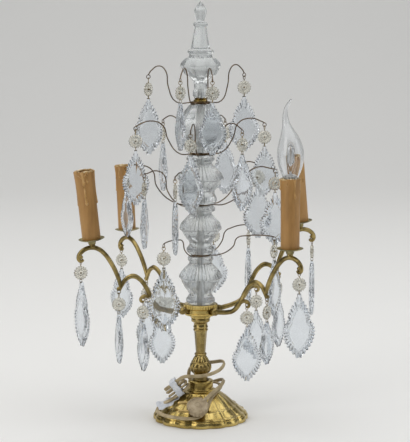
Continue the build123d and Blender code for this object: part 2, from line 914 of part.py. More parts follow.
def cord_tube(name, points):
    """One free stretch of the cord: straight runs joined by tangent arcs."""
    radii = cord_radii(points)
    path = FilletPolyline(*points, radius=radii)
    face = RegularPolygon(cord_diameter / 2, cord_sides)
    section = Plane(origin=path @ 0, z_dir=path % 0) * face
    tube = sweep(section, path=path)
    print(name, "radii", [round(r, 1) for r in radii], "length", round(path.length, 1))
    print(name, "volume", round(tube.volume, 1), "section x length", round(face.area * path.length, 1))
    return tube


def hank_ends():
    """Ends of the hank's runs in order, as pairs of points."""
    runs = []
    half = hank_run_length / 2
    for n in range(hank_runs):
        level = hank_out * (hank_pitch / 2 * ((hank_runs - 1) / 2 - n))
        side = hank_side * (hank_turn_radius * (1 if n % 2 == 0 else -1))
        middle = hank_centre + level + side
        way = 1 if n % 2 == 0 else -1
        runs.append((middle - hank_along * (half * way), middle + hank_along * (half * way)))
    return runs


def hank():
    """The tied hank: one tube along flat loops that climb half a pitch at each turn."""
    runs = hank_ends()
    edges = []
    for n, (start, end) in enumerate(runs):
        edges.append(Line(start, end))
        if n + 1 < len(runs):
            onward = (end - start).normalized()
            far = runs[n + 1][0]
            middle = (end + far) * 0.5 + onward * ((far - end).length / 2)
            edges.append(ThreePointArc(end, middle, far))
    path = Wire([e.edge() for e in edges])
    face = RegularPolygon(cord_diameter / 2, cord_sides)
    tube = sweep(Plane(origin=runs[0][0], z_dir=hank_along) * face, path=path)
    print("cord_hank volume", round(tube.volume, 1), "section x length", round(face.area * path.length, 1))
    samples = [path @ (n / 400) for n in range(401)]
    step = path.length / 400
    apart = int(2.5 * cord_diameter / step)
    least = min(
        (samples[i] - samples[j]).length
        for i in range(len(samples))
        for j in range(i + apart, len(samples))
    )
    print("cord_hank loops", hank_runs / 2, "least gap", round(least - cord_diameter, 2), "length", round(path.length, 1))
    return tube


def paper_tie():
    """Paper band around the waist of the hank, with its loose tail."""
    width = 2 * hank_turn_radius + cord_diameter + 2 * tie_gap
    height = (hank_runs - 1) * hank_pitch / 2 + cord_diameter + 2 * tie_gap
    outer = Rectangle(width + 2 * tie_thickness, height + 2 * tie_thickness)
    inner = Rectangle(width, height)
    band = extrude(outer - inner, tie_width / 2, both=True)
    frame = Plane(origin=hank_centre, x_dir=hank_side, z_dir=hank_along)
    tail_low = -height / 2 - tie_thickness
    tail = Pos(width / 2, tail_low + tie_thickness / 2, tie_width / 2) * Box(
        12.0, tie_thickness, 26.0, align=(Align.MAX, Align.CENTER, Align.MIN)
    )
    return frame * (band + tail)


def plug_frame():
    """The plug's place: its origin is the disc's middle, its Z is square to the disc."""
    tilt = radians(plug_tilt_deg)
    return Plane(origin=plug_centre, x_dir=(1, 0, 0), z_dir=(0, -sin(tilt), cos(tilt)))


def plug():
    """Flat round plug with a ribbed edge, a lead collar and two pins in its edge."""
    disc = extrude(star_face(plug_radius, plug_ribs, 1 - plug_rib_depth / plug_radius), plug_thickness / 2, both=True)
    face = Pos(0, 0, plug_thickness / 2) * extrude(RegularPolygon(plug_radius * 0.6, 12), 1.0)
    collar = Rot(0, 0, plug_lead_deg) * Pos(plug_radius - 1, 0, 0) * Rot(0, 90, 0)
    collar = collar * extrude(RegularPolygon(cord_diameter * 0.62, 6), collar_reach + 1)
    whole = disc + face + collar
    for side in (-1, 1):
        pin = Pos(-plug_radius + 3, side * plug_pin_spacing / 2, 0) * Rot(0, -90, 0)
        whole += pin * extrude(RegularPolygon(plug_pin_radius, 8), plug_pin_length)
    return plug_frame() * whole


def cord_run():
    """Both free stretches, each square to the bush, the hank or the plug at its ends."""
    runs = hank_ends()
    seat = place(bush_azimuth, bush_reach, cord_seat_height)
    low_end, high_end = runs[-1][1], runs[0][0]
    first = [seat] + [Vector(*p) for p in rim_points] + [low_end + hank_along * hank_lead, low_end]
    frame = plug_frame()
    way = frame.x_dir * cos(radians(plug_lead_deg)) + frame.y_dir * sin(radians(plug_lead_deg))
    plug_end = plug_centre + way * (plug_radius + collar_reach)
    second = [high_end, high_end - hank_along * hank_lead] + [Vector(*p) for p in neck_points]
    second += [plug_end + way * plug_lead, plug_end]
    stretches = [cord_tube("cord to hank", first), cord_tube("cord to plug", second)]
    return Compound([tube.solid() for tube in stretches])


def arm_drop_list():
    """Every drop on the arms, as (drop, (reach, height) of its pivot)."""
    found = []
    for name, azimuth, lift, drops in zip(arm_names, arm_azimuths, arm_lifts, arm_drops):
        for seat, length, width, face in drops:
            x, z = lifted([arm_seats[seat]], lift)[0]
            drop = Drop("drop_" + name + "_" + seat, azimuth, length, width, face)
            found.append((drop, (x, z)))
    return found


def tier_drop_list():
    """Every drop on the wires, as (drop, (reach, height) of its pivot)."""
    return [(d, (t.reach, t.seat_height())) for t in tiers for d in t.drops]


all_drops = tier_drop_list() + arm_drop_list()


def save(name, *solids):
    """Writes one node."""
    shape = solids[0] if len(solids) == 1 else Compound(list(solids))
    export_step(shape, "parts/" + name + ".step")


def main():
    """Builds and writes every node."""
    save("foot", foot())
    save("foot_pad", foot_pad())
    save("shaft", shaft())
    save("arm_hub", hub())
    save("tie_rod", tie_rod())
    profiles = (lower_profile, middle_profile, upper_profile)
    save("glass_vases", *[vase(base, profile).solid() for base, profile in zip(vase_bases, profiles)])
    save("glass_globe", globe(vase_bases[3]))
    save("spire_collar", spire_collar())
    save("glass_spire", spire())
    for tier in tiers:
        save(tier.name, tier.spray())
    frames = [candle_frame(n) for n in range(4)]
    for name, azimuth, lift, lean in zip(arm_names, arm_azimuths, arm_lifts, candle_leans):
        save("arm_" + name, around(azimuth, arm(lift, lean)))
    save("drip_pans", *[(f * drip_pan()).solid() for f in frames])
    save("lampholders", *[(f * lampholder()).solid() for f in frames])
    for name, frame, runs in zip(arm_names, frames, sleeve_runs):
        save("candle_" + name, frame * sleeve(runs))
    save("bulb_glass", frames[1] * bulb_glass())
    save("bulb_cap", frames[1] * bulb_cap())
    for drop, (reach, height) in all_drops:
        solids = [around(drop.azimuth, Pos(reach, 0, height) * s).solid() for s in drop_solids(drop)]
        save(drop.name, *solids)
    save("cord_run", cord_run())
    save("cord_hank", hank())
    save("cord_tie", paper_tie())
    save("plug", plug())


if __name__ == "__main__":
    main()
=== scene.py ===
import json
import math
import random

import bmesh
import bpy
from mathutils import Matrix, Vector


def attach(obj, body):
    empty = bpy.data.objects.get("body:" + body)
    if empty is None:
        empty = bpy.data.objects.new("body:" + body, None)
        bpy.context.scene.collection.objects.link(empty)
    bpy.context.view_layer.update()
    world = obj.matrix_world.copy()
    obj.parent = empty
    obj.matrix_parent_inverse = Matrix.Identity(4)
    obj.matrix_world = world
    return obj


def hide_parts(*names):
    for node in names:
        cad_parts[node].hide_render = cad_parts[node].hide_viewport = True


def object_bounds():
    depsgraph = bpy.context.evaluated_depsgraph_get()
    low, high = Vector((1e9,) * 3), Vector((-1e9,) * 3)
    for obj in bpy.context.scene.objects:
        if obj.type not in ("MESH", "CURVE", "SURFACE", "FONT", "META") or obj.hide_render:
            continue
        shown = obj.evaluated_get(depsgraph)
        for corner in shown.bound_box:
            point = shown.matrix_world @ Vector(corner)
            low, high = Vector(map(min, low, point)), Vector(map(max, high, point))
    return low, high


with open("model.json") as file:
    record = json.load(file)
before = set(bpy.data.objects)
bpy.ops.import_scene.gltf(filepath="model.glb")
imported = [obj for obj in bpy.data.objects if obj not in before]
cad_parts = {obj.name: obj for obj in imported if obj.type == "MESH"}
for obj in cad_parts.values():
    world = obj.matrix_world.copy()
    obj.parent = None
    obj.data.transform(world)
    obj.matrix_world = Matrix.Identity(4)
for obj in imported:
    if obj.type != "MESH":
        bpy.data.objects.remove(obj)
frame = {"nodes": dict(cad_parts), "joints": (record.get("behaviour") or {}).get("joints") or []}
cad_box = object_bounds()

# The girandole in millimetres; every piece is turned into metres as it is made.
MM = 0.001
chance = random.Random(7)


# ---- workshop -------------------------------------------------------------------------

def clear_bench():
    """Leave nothing selected, with no piece in edit mode."""
    if bpy.context.object and bpy.context.object.mode != "OBJECT":
        bpy.ops.object.mode_set(mode="OBJECT")
    bpy.ops.object.select_all(action="DESELECT")


def take(piece):
    """Select one piece alone and make it the one worked on."""
    clear_bench()
    piece.select_set(True)
    bpy.context.view_layer.objects.active = piece
    return piece


def plain(angle):
    """The edge of a round level."""
    return 1.0


def tower(name, sides, levels, edge=plain):
    """Raise a piece from a disc: each level is (height, radius[, edge]), drawn up in turn.

    The edge is a function of the angle that says how far out the level's outline stands.
    """
    clear_bench()
    bpy.ops.mesh.primitive_circle_add(vertices=sides, radius=MM, fill_type="NGON")
    piece = bpy.context.object
    piece.name = name
    bpy.ops.object.mode_set(mode="EDIT")
    bpy.ops.mesh.select_all(action="SELECT")
    for count, level in enumerate(levels):
        height, radius = level[0], max(level[1], 0.15)
        outline = level[2] if len(level) > 2 else edge
        if count:
            bpy.ops.mesh.extrude_region_move()
        shell = bmesh.from_edit_mesh(piece.data)
        for corner in shell.verts:
            if corner.select:
                angle = math.atan2(corner.co.y, corner.co.x)
                reach = radius * outline(angle) * MM
                corner.co = (reach * math.cos(angle), reach * math.sin(angle), height * MM)
        bmesh.update_edit_mesh(piece.data)
    bpy.ops.mesh.select_all(action="SELECT")
    bpy.ops.mesh.normals_make_consistent(inside=False)
    bpy.ops.object.mode_set(mode="OBJECT")
    return piece


def plaque(name, levels):
    """A flat piece alike on both faces: each level is (height, points), drawn up and in in turn."""
    clear_bench()
    first = levels[0][1]
    bpy.ops.mesh.primitive_circle_add(vertices=len(first), radius=MM, fill_type="NGON")
    piece = bpy.context.object
    piece.name = name
    for corner, (x, y) in zip(piece.data.vertices, first):
        corner.co = (x * MM, y * MM, 0)
    bpy.ops.object.mode_set(mode="EDIT")
    bpy.ops.mesh.select_all(action="SELECT")
    last = first
    for height, points in levels[1:]:
        bpy.ops.mesh.extrude_region_move()
        shell = bmesh.from_edit_mesh(piece.data)
        for corner in shell.verts:
            if corner.select:
                x, y = corner.co.x / MM, corner.co.y / MM
                n = min(range(len(last)), key=lambda k: (last[k][0] - x) ** 2 + (last[k][1] - y) ** 2)
                corner.co = (points[n][0] * MM, points[n][1] * MM, height * MM)
        bmesh.update_edit_mesh(piece.data)
        last = points
    bpy.ops.mesh.poke(offset=0.3 * MM)
    bpy.ops.mesh.select_mode(type="FACE")
    bpy.ops.mesh.select_all(action="DESELECT")
    bpy.ops.object.mode_set(mode="OBJECT")
    for face in piece.data.polygons:
        face.select = all(abs(piece.data.vertices[v].co.z) < 1e-7 for v in face.vertices)
    bpy.ops.object.mode_set(mode="EDIT")
    bpy.ops.mesh.delete(type="ONLY_FACE")
    bpy.ops.object.mode_set(mode="OBJECT")
    other_half = piece.modifiers.new("other half", "MIRROR")
    other_half.use_axis = (False, False, True)
    other_half.merge_threshold = 0.00002
    bpy.ops.object.modifier_apply(modifier=other_half.name)
    tidy_faces(piece)
    return piece


def tidy_faces(piece):
    """Merge doubles and turn the faces outwards."""
    take(piece)
    bpy.ops.object.mode_set(mode="EDIT")
    bpy.ops.mesh.select_mode(type="VERT")
    bpy.ops.mesh.select_all(action="SELECT")
    bpy.ops.mesh.remove_doubles(threshold=0.000003)
    bpy.ops.mesh.normals_make_consistent(inside=False)
    bpy.ops.object.mode_set(mode="OBJECT")


def drawn_wire(name, points, radius, taper=None, fineness=5, sides=3):
    """A round bar along a smooth line through the points, each (x, y, z) in millimetres."""
    clear_bench()
    line = bpy.data.curves.new(name, "CURVE")
    line.dimensions = "3D"
    line.resolution_u = fineness
    line.bevel_depth = radius * MM
    line.bevel_resolution = sides
    line.use_fill_caps = True
    run = line.splines.new("BEZIER")
    run.bezier_points.add(len(points) - 1)
    for count, (knot, point) in enumerate(zip(run.bezier_points, points)):
        knot.co = Vector(point) * MM
        knot.handle_left_type = knot.handle_right_type = "AUTO"
        knot.radius = taper[count] if taper else 1.0
    bar = bpy.data.objects.new(name, line)
    bpy.context.collection.objects.link(bar)
    take(bar)
    bpy.ops.object.convert(target="MESH")
    bar = bpy.context.object
    bar.name = name
    tidy_faces(bar)
    return bar


def small_ring(name, major, minor, steps=18, sides=8):
    """A ring of round wire lying in the XY plane."""
    clear_bench()
    bpy.ops.mesh.primitive_torus_add(
        major_radius=major * MM, minor_radius=minor * MM, major_segments=steps, minor_segments=sides
    )
    ring = bpy.context.object
    ring.name = name
    return ring


def small_ball(name, radius, steps=20, rings=12):
    """A round bead."""
    clear_bench()
    bpy.ops.mesh.primitive_uv_sphere_add(radius=radius * MM, segments=steps, ring_count=rings)
    ball = bpy.context.object
    ball.name = name
    return ball


def put(piece, where):
    """Set the piece's mesh in place, its object staying at the origin."""
    piece.data.transform(where)
    if where.determinant() < 0:
        piece.data.flip_normals()
    piece.data.update()
    return piece


def twin(piece, name):
    """A copy with its own mesh."""
    copy = piece.copy()
    copy.data = piece.data.copy()
    copy.name = name
    bpy.context.collection.objects.link(copy)
    return copy


def joined(name, pieces):
    """One piece made of several."""
    clear_bench()
    for piece in pieces:
        piece.select_set(True)
    bpy.context.view_layer.objects.active = pieces[0]
    if len(pieces) > 1:
        bpy.ops.object.join()
    whole = bpy.context.object
    whole.name = name
    return whole


def smooth(piece, degrees=35):
    """Smooth shading, with edges kept sharper than the angle."""
    take(piece)
    bpy.ops.object.shade_smooth_by_angle(angle=math.radians(degrees))
    return piece


def soften(piece, width, segments=2, degrees=30):
    """Round off the edges of a casting or of pressed glass."""
    take(piece)
    worn = piece.modifiers.new("worn edges", "BEVEL")
    worn.width = width * MM
    worn.segments = segments
    worn.limit_method = "ANGLE"
    worn.angle_limit = math.radians(degrees)
    worn.use_clamp_overlap = True
    bpy.ops.object.modifier_apply(modifier=worn.name)
    return piece


def set_at(x, y, z):
    """A place in millimetres."""
    return Matrix.Translation(Vector((x, y, z)) * MM)


def turned_by(degrees, axis):
    """A turn about an axis."""
    return Matrix.Rotation(math.radians(degrees), 4, axis)


def around(azimuth):
    """Turn what is drawn out along +X to its azimuth, 0 at the front and growing to the right."""
    return turned_by(azimuth - 90, "Z")


# ---- finishes -------------------------------------------------------------------------

def finish_nodes(name):
    """A new finish with its shader."""
    finish = bpy.data.materials.new(name)
    finish.use_nodes = True
    tree = finish.node_tree
    return finish, tree.nodes, tree.links, tree.nodes["Principled BSDF"]


def grain(nodes, links, scale, detail=4.0, roughness=0.55, stretch=(1, 1, 1)):
    """Noise on the object's own coordinates."""
    place = nodes.new("ShaderNodeTexCoord")
    spread = nodes.new("ShaderNodeMapping")
    spread.inputs["Scale"].default_value = stretch
    noise = nodes.new("ShaderNodeTexNoise")
    noise.inputs["Scale"].default_value = scale
    noise.inputs["Detail"].default_value = detail
    noise.inputs["Roughness"].default_value = roughness
    links.new(place.outputs["Object"], spread.inputs["Vector"])
    links.new(spread.outputs["Vector"], noise.inputs["Vector"])
    return noise


def ramp(nodes, links, source, stops):
    """A colour ramp over a factor."""
    fade = nodes.new("ShaderNodeValToRGB")
    bands = fade.color_ramp.elements
    bands[0].position, bands[0].color = stops[0][0], (*stops[0][1], 1)
    bands[1].position, bands[1].color = stops[-1][0], (*stops[-1][1], 1)
    for position, colour in stops[1:-1]:
        bands.new(position).color = (*colour, 1)
    links.new(source, fade.inputs["Fac"])
    return fade.outputs["Color"]


def level(nodes, links, source, low, high):
    """A factor turned into a value between two ends."""
    scale = nodes.new("ShaderNodeMapRange")
    scale.inputs["To Min"].default_value = low
    scale.inputs["To Max"].default_value = high
    links.new(source, scale.inputs["Value"])
    return scale.outputs["Result"]


def dent(nodes, links, shader, height, strength, distance=0.0004):
    """Bump from a height."""
    bump = nodes.new("ShaderNodeBump")
    bump.inputs["Strength"].default_value = strength
    bump.inputs["Distance"].default_value = distance
    links.new(height, bump.inputs["Height"])
    links.new(bump.outputs["Normal"], shader.inputs["Normal"])


def metal_finish(name, stops, rough, patch_scale=28, pit_scale=420, bump=0.25):
    """Aged brass: patches of bright and tarnished metal, fine pits and uneven gloss."""
    finish, nodes, links, shader = finish_nodes(name)
    patches = grain(nodes, links, patch_scale, 6, 0.6)
    pits = grain(nodes, links, pit_scale, 3, 0.5)
    links.new(ramp(nodes, links, patches.outputs["Fac"], stops), shader.inputs["Base Color"])
    links.new(level(nodes, links, patches.outputs["Fac"], rough[1], rough[0]), shader.inputs["Roughness"])
    dent(nodes, links, shader, pits.outputs["Fac"], bump, 0.0002)
    shader.inputs["Metallic"].default_value = 1.0
    return finish


def glass_finish(name, tint, rough, wave_scale, bump, clear=1.0, index=1.5):
    """Old glass: faintly grey, with slow waves and seeds in it."""
    finish, nodes, links, shader = finish_nodes(name)
    waves = grain(nodes, links, wave_scale, 3, 0.5)
    stops = [(0.3, [c * 0.93 for c in tint]), (0.7, tint)]
    links.new(ramp(nodes, links, waves.outputs["Fac"], stops), shader.inputs["Base Color"])
    links.new(level(nodes, links, waves.outputs["Fac"], rough[0], rough[1]), shader.inputs["Roughness"])
    dent(nodes, links, shader, waves.outputs["Fac"], bump, 0.0005)
    shader.inputs["Transmission Weight"].default_value = clear
    shader.inputs["IOR"].default_value = index
    return finish


cast_brass = metal_finish(
    "cast brass, worn bright", [(0.3, (0.16, 0.115, 0.038)), (0.46, (0.5, 0.37, 0.12)), (0.7, (0.72, 0.56, 0.22))], (0.12, 0.36)
)
knop_brass = metal_finish(
    "cast brass, darkened", [(0.3, (0.08, 0.058, 0.02)), (0.5, (0.28, 0.205, 0.075)), (0.72, (0.6, 0.46, 0.18))], (0.14, 0.42)
)
arm_brass = metal_finish(
    "arm brass, aged", [(0.3, (0.09, 0.068, 0.026)), (0.5, (0.3, 0.225, 0.085)), (0.72, (0.56, 0.43, 0.18))], (0.16, 0.44), 60
)
pan_brass = metal_finish(
    "pan brass, tarnished", [(0.3, (0.12, 0.11, 0.06)), (0.5, (0.3, 0.26, 0.13)), (0.75, (0.5, 0.42, 0.2))], (0.28, 0.55), 80
)
wire_bronze = metal_finish(
    "bronzed wire", [(0.3, (0.05, 0.033, 0.02)), (0.55, (0.13, 0.085, 0.045)), (0.8, (0.28, 0.19, 0.09))], (0.3, 0.55), 120
)
link_brass = metal_finish(
    "link wire", [(0.3, (0.12, 0.085, 0.035)), (0.55, (0.3, 0.22, 0.1)), (0.8, (0.5, 0.38, 0.17))], (0.25, 0.5), 160
)
column_glass = glass_finish("pressed glass, column", (0.86, 0.89, 0.9), (0.04, 0.14), 60, 0.35, 0.84)
pendant_glass = glass_finish("cut glass, pendants", (0.86, 0.9, 0.945), (0.02, 0.09), 90, 0.25, 0.96)
rosette_glass = glass_finish("cut glass, rosettes", (0.86, 0.84, 0.76), (0.03, 0.1), 140, 0.25, 0.94)
capsule_glass = glass_finish("capsule glass", (0.96, 0.97, 0.98), (0.02, 0.08), 200, 0.2, 0.88)
envelope_glass = glass_finish("bulb envelope", (0.97, 0.98, 0.99), (0.0, 0.02), 30, 0.03, 1.0, 1.45)


def wax_finish():
    """Ochre wax on a card sleeve: warm, slightly see-through, streaked down its length."""
    finish, nodes, links, shader = finish_nodes("candle sleeve wax")
    streaks = grain(nodes, links, 60, 5, 0.6, (1, 1, 0.18))
    grains = grain(nodes, links, 500, 3, 0.6)
    stops = [(0.28, (0.24, 0.12, 0.03)), (0.5, (0.39, 0.205, 0.058)), (0.75, (0.5, 0.285, 0.095))]
    links.new(ramp(nodes, links, streaks.outputs["Fac"], stops), shader.inputs["Base Color"])
    links.new(level(nodes, links, grains.outputs["Fac"], 0.35, 0.6), shader.inputs["Roughness"])
    dent(nodes, links, shader, grains.outputs["Fac"], 0.35, 0.0003)
    shader.inputs["Subsurface Weight"].default_value = 0.08
    shader.inputs["Subsurface Radius"].default_value = (0.004, 0.002, 0.001)
    return finish


def plain_finish(name, stops, rough, scale, bump, metallic=0.0, stretch=(1, 1, 1)):
    """A dull or glossy coat with its own grain."""
    finish, nodes, links, shader = finish_nodes(name)
    marks = grain(nodes, links, scale, 5, 0.6, stretch)
    links.new(ramp(nodes, links, marks.outputs["Fac"], stops), shader.inputs["Base Color"])
    links.new(level(nodes, links, marks.outputs["Fac"], rough[0], rough[1]), shader.inputs["Roughness"])
    dent(nodes, links, shader, marks.outputs["Fac"], bump, 0.0003)
    shader.inputs["Metallic"].default_value = metallic
    return finish


sleeve_wax = wax_finish()
run_wax = plain_finish(
    "wax runs", [(0.3, (0.28, 0.14, 0.036)), (0.5, (0.46, 0.26, 0.08)), (0.75, (0.62, 0.39, 0.16))], (0.2, 0.4), 150, 0.3
)
# Rim bead: pale cream wax, made paler still as a painted highlight along the top of the rim.
rim_wax_with_highlight = plain_finish(
    "rim wax, painted highlight", [(0.3, (0.36, 0.22, 0.08)), (0.5, (0.58, 0.42, 0.2)), (0.72, (0.78, 0.66, 0.44))], (0.2, 0.4), 120, 0.4
)
pale_wax = plain_finish("pale wax crumbs", [(0.3, (0.62, 0.5, 0.33)), (0.7, (0.82, 0.75, 0.6))], (0.3, 0.5), 300, 0.4)
lamp_ceramic = plain_finish("lamp ceramic", [(0.3, (0.62, 0.61, 0.58)), (0.7, (0.84, 0.83, 0.8))], (0.25, 0.45), 200, 0.15)
holder_plastic = plain_finish("lampholder plastic", [(0.3, (0.02, 0.016, 0.012)), (0.7, (0.07, 0.055, 0.04))], (0.35, 0.6), 300, 0.2)
cap_metal = plain_finish("bulb cap metal", [(0.3, (0.5, 0.47, 0.4)), (0.7, (0.75, 0.72, 0.64))], (0.2, 0.4), 200, 0.1, 1.0)
filament_metal = plain_finish("filament", [(0.3, (0.5, 0.45, 0.4)), (0.7, (0.8, 0.76, 0.7))], (0.2, 0.4), 200, 0.1, 1.0)
flex_sheath = plain_finish(
    "flex sheath", [(0.3, (0.28, 0.215, 0.115)), (0.5, (0.43, 0.34, 0.195)), (0.75, (0.57, 0.475, 0.3))], (0.35, 0.6), 90, 0.25
)
tie_paper = plain_finish("tie paper", [(0.3, (0.56, 0.6, 0.68)), (0.55, (0.78, 0.81, 0.86)), (0.75, (0.9, 0.91, 0.93))], (0.6, 0.85), 130, 0.6)
plug_plastic = plain_finish(
    "plug plastic", [(0.3, (0.24, 0.18, 0.105)), (0.5, (0.4, 0.315, 0.2)), (0.75, (0.54, 0.45, 0.31))], (0.35, 0.6), 110, 0.3
)
pin_brass = metal_finish("plug pin brass", [(0.3, (0.3, 0.2, 0.07)), (0.7, (0.7, 0.52, 0.22))], (0.2, 0.45), 200)
steel = metal_finish("rod steel", [(0.3, (0.42, 0.42, 0.41)), (0.7, (0.72, 0.72, 0.7))], (0.2, 0.4), 200)
pad_felt = plain_finish("base felt", [(0.3, (0.02, 0.045, 0.025)), (0.7, (0.05, 0.09, 0.05))], (0.85, 1.0), 700, 0.6)


def wear(piece, finish):
    """Give the piece one finish."""
    piece.data.materials.clear()
    piece.data.materials.append(finish)
    return piece


def done(piece, body, slot, *nodes):
    """Let a finished piece ride on its body and stand for its CAD nodes; slot is not used."""
    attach(piece, body)
    if nodes:
        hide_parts(*nodes)
    return piece


# ---- camera and light -----------------------------------------------------------------

def camera_and_light():
    """The photograph's view, plain soft lamps, and a pale floor."""
    lens = bpy.data.cameras.new("photo camera")
    lens.lens = 151.7
    lens.sensor_width = 36
    lens.clip_end = 50
    camera = bpy.data.objects.new("photo camera", lens)
    camera.location = (0.006, -2.5, 0.64)
    camera.rotation_euler = (math.radians(81.67), 0, 0)
    bpy.context.collection.objects.link(camera)
    bpy.context.scene.camera = camera

    world = bpy.data.worlds.new("studio")
    bpy.context.scene.world = world
    world.use_nodes = True
    nodes, links = world.node_tree.nodes, world.node_tree.links
    sky = nodes["Background"]
    sky.inputs["Color"].default_value = (0.9, 0.92, 0.95, 1)
    sky.inputs["Strength"].default_value = 0.15
    wall = nodes.new("ShaderNodeBackground")
    wall.inputs["Color"].default_value = (0.64, 0.64, 0.635, 1)
    rays = nodes.new("ShaderNodeLightPath")
    choice = nodes.new("ShaderNodeMixShader")
    links.new(rays.outputs["Is Camera Ray"], choice.inputs["Fac"])
    links.new(sky.outputs["Background"], choice.inputs[1])
    links.new(wall.outputs["Background"], choice.inputs[2])
    links.new(choice.outputs["Shader"], nodes["World Output"].inputs["Surface"])

    lamps = (
        ("overhead box", (0, 0.2, 2.6), (0, 0.2, 0), (5.0, 5.0), 100, (1.0, 0.99, 0.97)),
        ("key box", (-1.7, -1.5, 1.1), (0, 0, 0.25), (1.3, 1.9), 15, (1.0, 0.98, 0.95)),
        ("side box", (1.9, -0.4, 0.8), (0, 0, 0.25), (0.9, 1.8), 7, (0.94, 0.97, 1.0)),
    )
    for name, place, goal, size, power, colour in lamps:
        lamp = bpy.data.lights.new(name, "AREA")
        lamp.shape = "RECTANGLE"
        lamp.size, lamp.size_y = size
        lamp.energy = power
        lamp.color = colour
        stand = bpy.data.objects.new(name, lamp)
        stand.location = place
        aim = Vector(goal) - Vector(place)
        stand.rotation_euler = aim.to_track_quat("-Z", "Y").to_euler()
        bpy.context.collection.objects.link(stand)

    clear_bench()
    bpy.ops.mesh.primitive_plane_add(size=8, location=(0, 0, 0))
    floor = bpy.context.object
    floor.name = "studio_floor"
    bpy.ops.object.mode_set(mode="EDIT")
    bpy.ops.mesh.select_mode(type="EDGE")
    bpy.ops.mesh.select_all(action="DESELECT")
    bpy.ops.object.mode_set(mode="OBJECT")
    for edge in floor.data.edges:
        edge.select = all(floor.data.vertices[v].co.y > 3.9 for v in edge.vertices)
    bpy.ops.object.mode_set(mode="EDIT")
    bpy.ops.mesh.extrude_region_move(TRANSFORM_OT_translate={"value": (0, 0, 4)})
    bpy.ops.object.mode_set(mode="OBJECT")
    cove = floor.modifiers.new("cove", "BEVEL")
    cove.width = 1.6
    cove.segments = 16
    cove.limit_method = "ANGLE"
    bpy.ops.object.modifier_apply(modifier=cove.name)
    bpy.ops.object.shade_smooth_by_angle(angle=math.radians(40))
    finish, nodes, links, shader = finish_nodes("pale studio floor")
    shader.inputs["Base Color"].default_value = (0.86, 0.86, 0.85, 1)
    shader.inputs["Roughness"].default_value = 0.8
    wear(floor, finish)


# ---- outlines -------------------------------------------------------------------------

FOOT_LOBES = 16


def foot_edge(angle):
    """Scalloped outline: even bulges, one of them facing the front."""
    t = ((angle + math.pi / 2) / (2 * math.pi) * FOOT_LOBES + 0.5) % 1.0
    return 1 - 0.05 * (1 - (4 * t * (1 - t)) ** 0.7)


def dome_edge(angle):
    """The same scallops, shallower, as they climb the dome."""
    return 1 - (1 - foot_edge(angle)) * 0.8


def knop_edge(angle):
    """Gadroons round the knop."""
    return 1 - 0.11 * (1 - abs(math.sin(5 * angle)) ** 0.8)


def leaf_edge(angle):
    """Upright leaves round the neck of the knop."""
    return 1 - 0.14 * (1 - abs(math.sin(6 * angle)) ** 0.6)


def octagon(angle):
    """Eight flats."""
    eighth = math.pi / 4
    return math.cos(eighth / 2) / math.cos(angle % eighth - eighth / 2)


def reeds(angle):
    """Fine upright reeds."""
    return 1 - 0.035 * (1 - abs(math.sin(18 * angle)))


def fine_ribs(angle):
    """Close ribs on the shoulders of the pressed vases."""
    return 1 - 0.045 * (1 - abs(math.sin(20 * angle)) ** 0.8)


def soft_ribs(angle):
    """The same ribs, nearly lost in the narrow places."""
    return 1 - 0.012 * (1 - abs(math.sin(10 * angle)))


def facets(angle):
    """The eight flats of the spire, a little hollowed."""
    share = (angle / (math.pi / 4)) % 1.0
    return octagon(angle) * (1 - 0.02 * 4 * share * (1 - share))


# ---- foot, shaft and hub --------------------------------------------------------------

def make_foot():
    """Hollow scalloped casting with a lobed dome and a drum, and the bush for the flex."""
    levels = [
        (46, 11, plain), (39, 12.6, plain), (34, 20, plain), (23, 32, plain), (11, 44, plain),
        (1.25, 56.6, plain), (1.25, 58.8, plain), (0, 58.8, plain), (0, 63.8), (0.7, 65.0), (2.6, 65.2),
        (6.0, 64.8), (7.4, 64.0), (8.0, 62.9), (8.5, 62.6), (9.2, 63.0), (10.0, 62.8), (10.6, 61.8),
        (11.1, 60.0), (11.6, 58.6), (13.2, 56.8, dome_edge), (17.2, 52.2, dome_edge), (18.2, 51.4, dome_edge),
        (19.2, 50.9, dome_edge), (19.9, 49.2, dome_edge), (20.4, 47.6, dome_edge), (22.4, 45.4, dome_edge),
        (26.0, 41.6, dome_edge), (30.4, 36.6, dome_edge), (34.4, 30.8, dome_edge), (37.0, 26.6, dome_edge),
        (37.6, 25.6, plain), (38.6, 25.0, plain), (39.2, 22.8, plain), (39.8, 19.8, plain),
        (40.6, 18.9, plain), (41.6, 18.9, plain), (42.2, 17.6, plain), (43, 17.1, plain),
        (50.6, 17.0, plain), (51.0, 17.4, plain), (52.4, 17.4, plain), (53.2, 17.0, plain),
        (54, 15.8, plain), (54, 9.5, plain),
    ]
    casting = tower("foot_casting", 240, levels, foot_edge)
    smooth(casting, 26)
    bush = tower("cord_bush", 24, [(15.5, 4), (18.2, 4), (19.0, 3.3), (19.0, 0.3)])
    put(bush, set_at(0, 0, 45) @ around(150) @ turned_by(90, "Y"))
    smooth(bush)
    done(wear(joined("foot_casting", [casting, bush]), cast_brass), "stand", "brass", "foot")


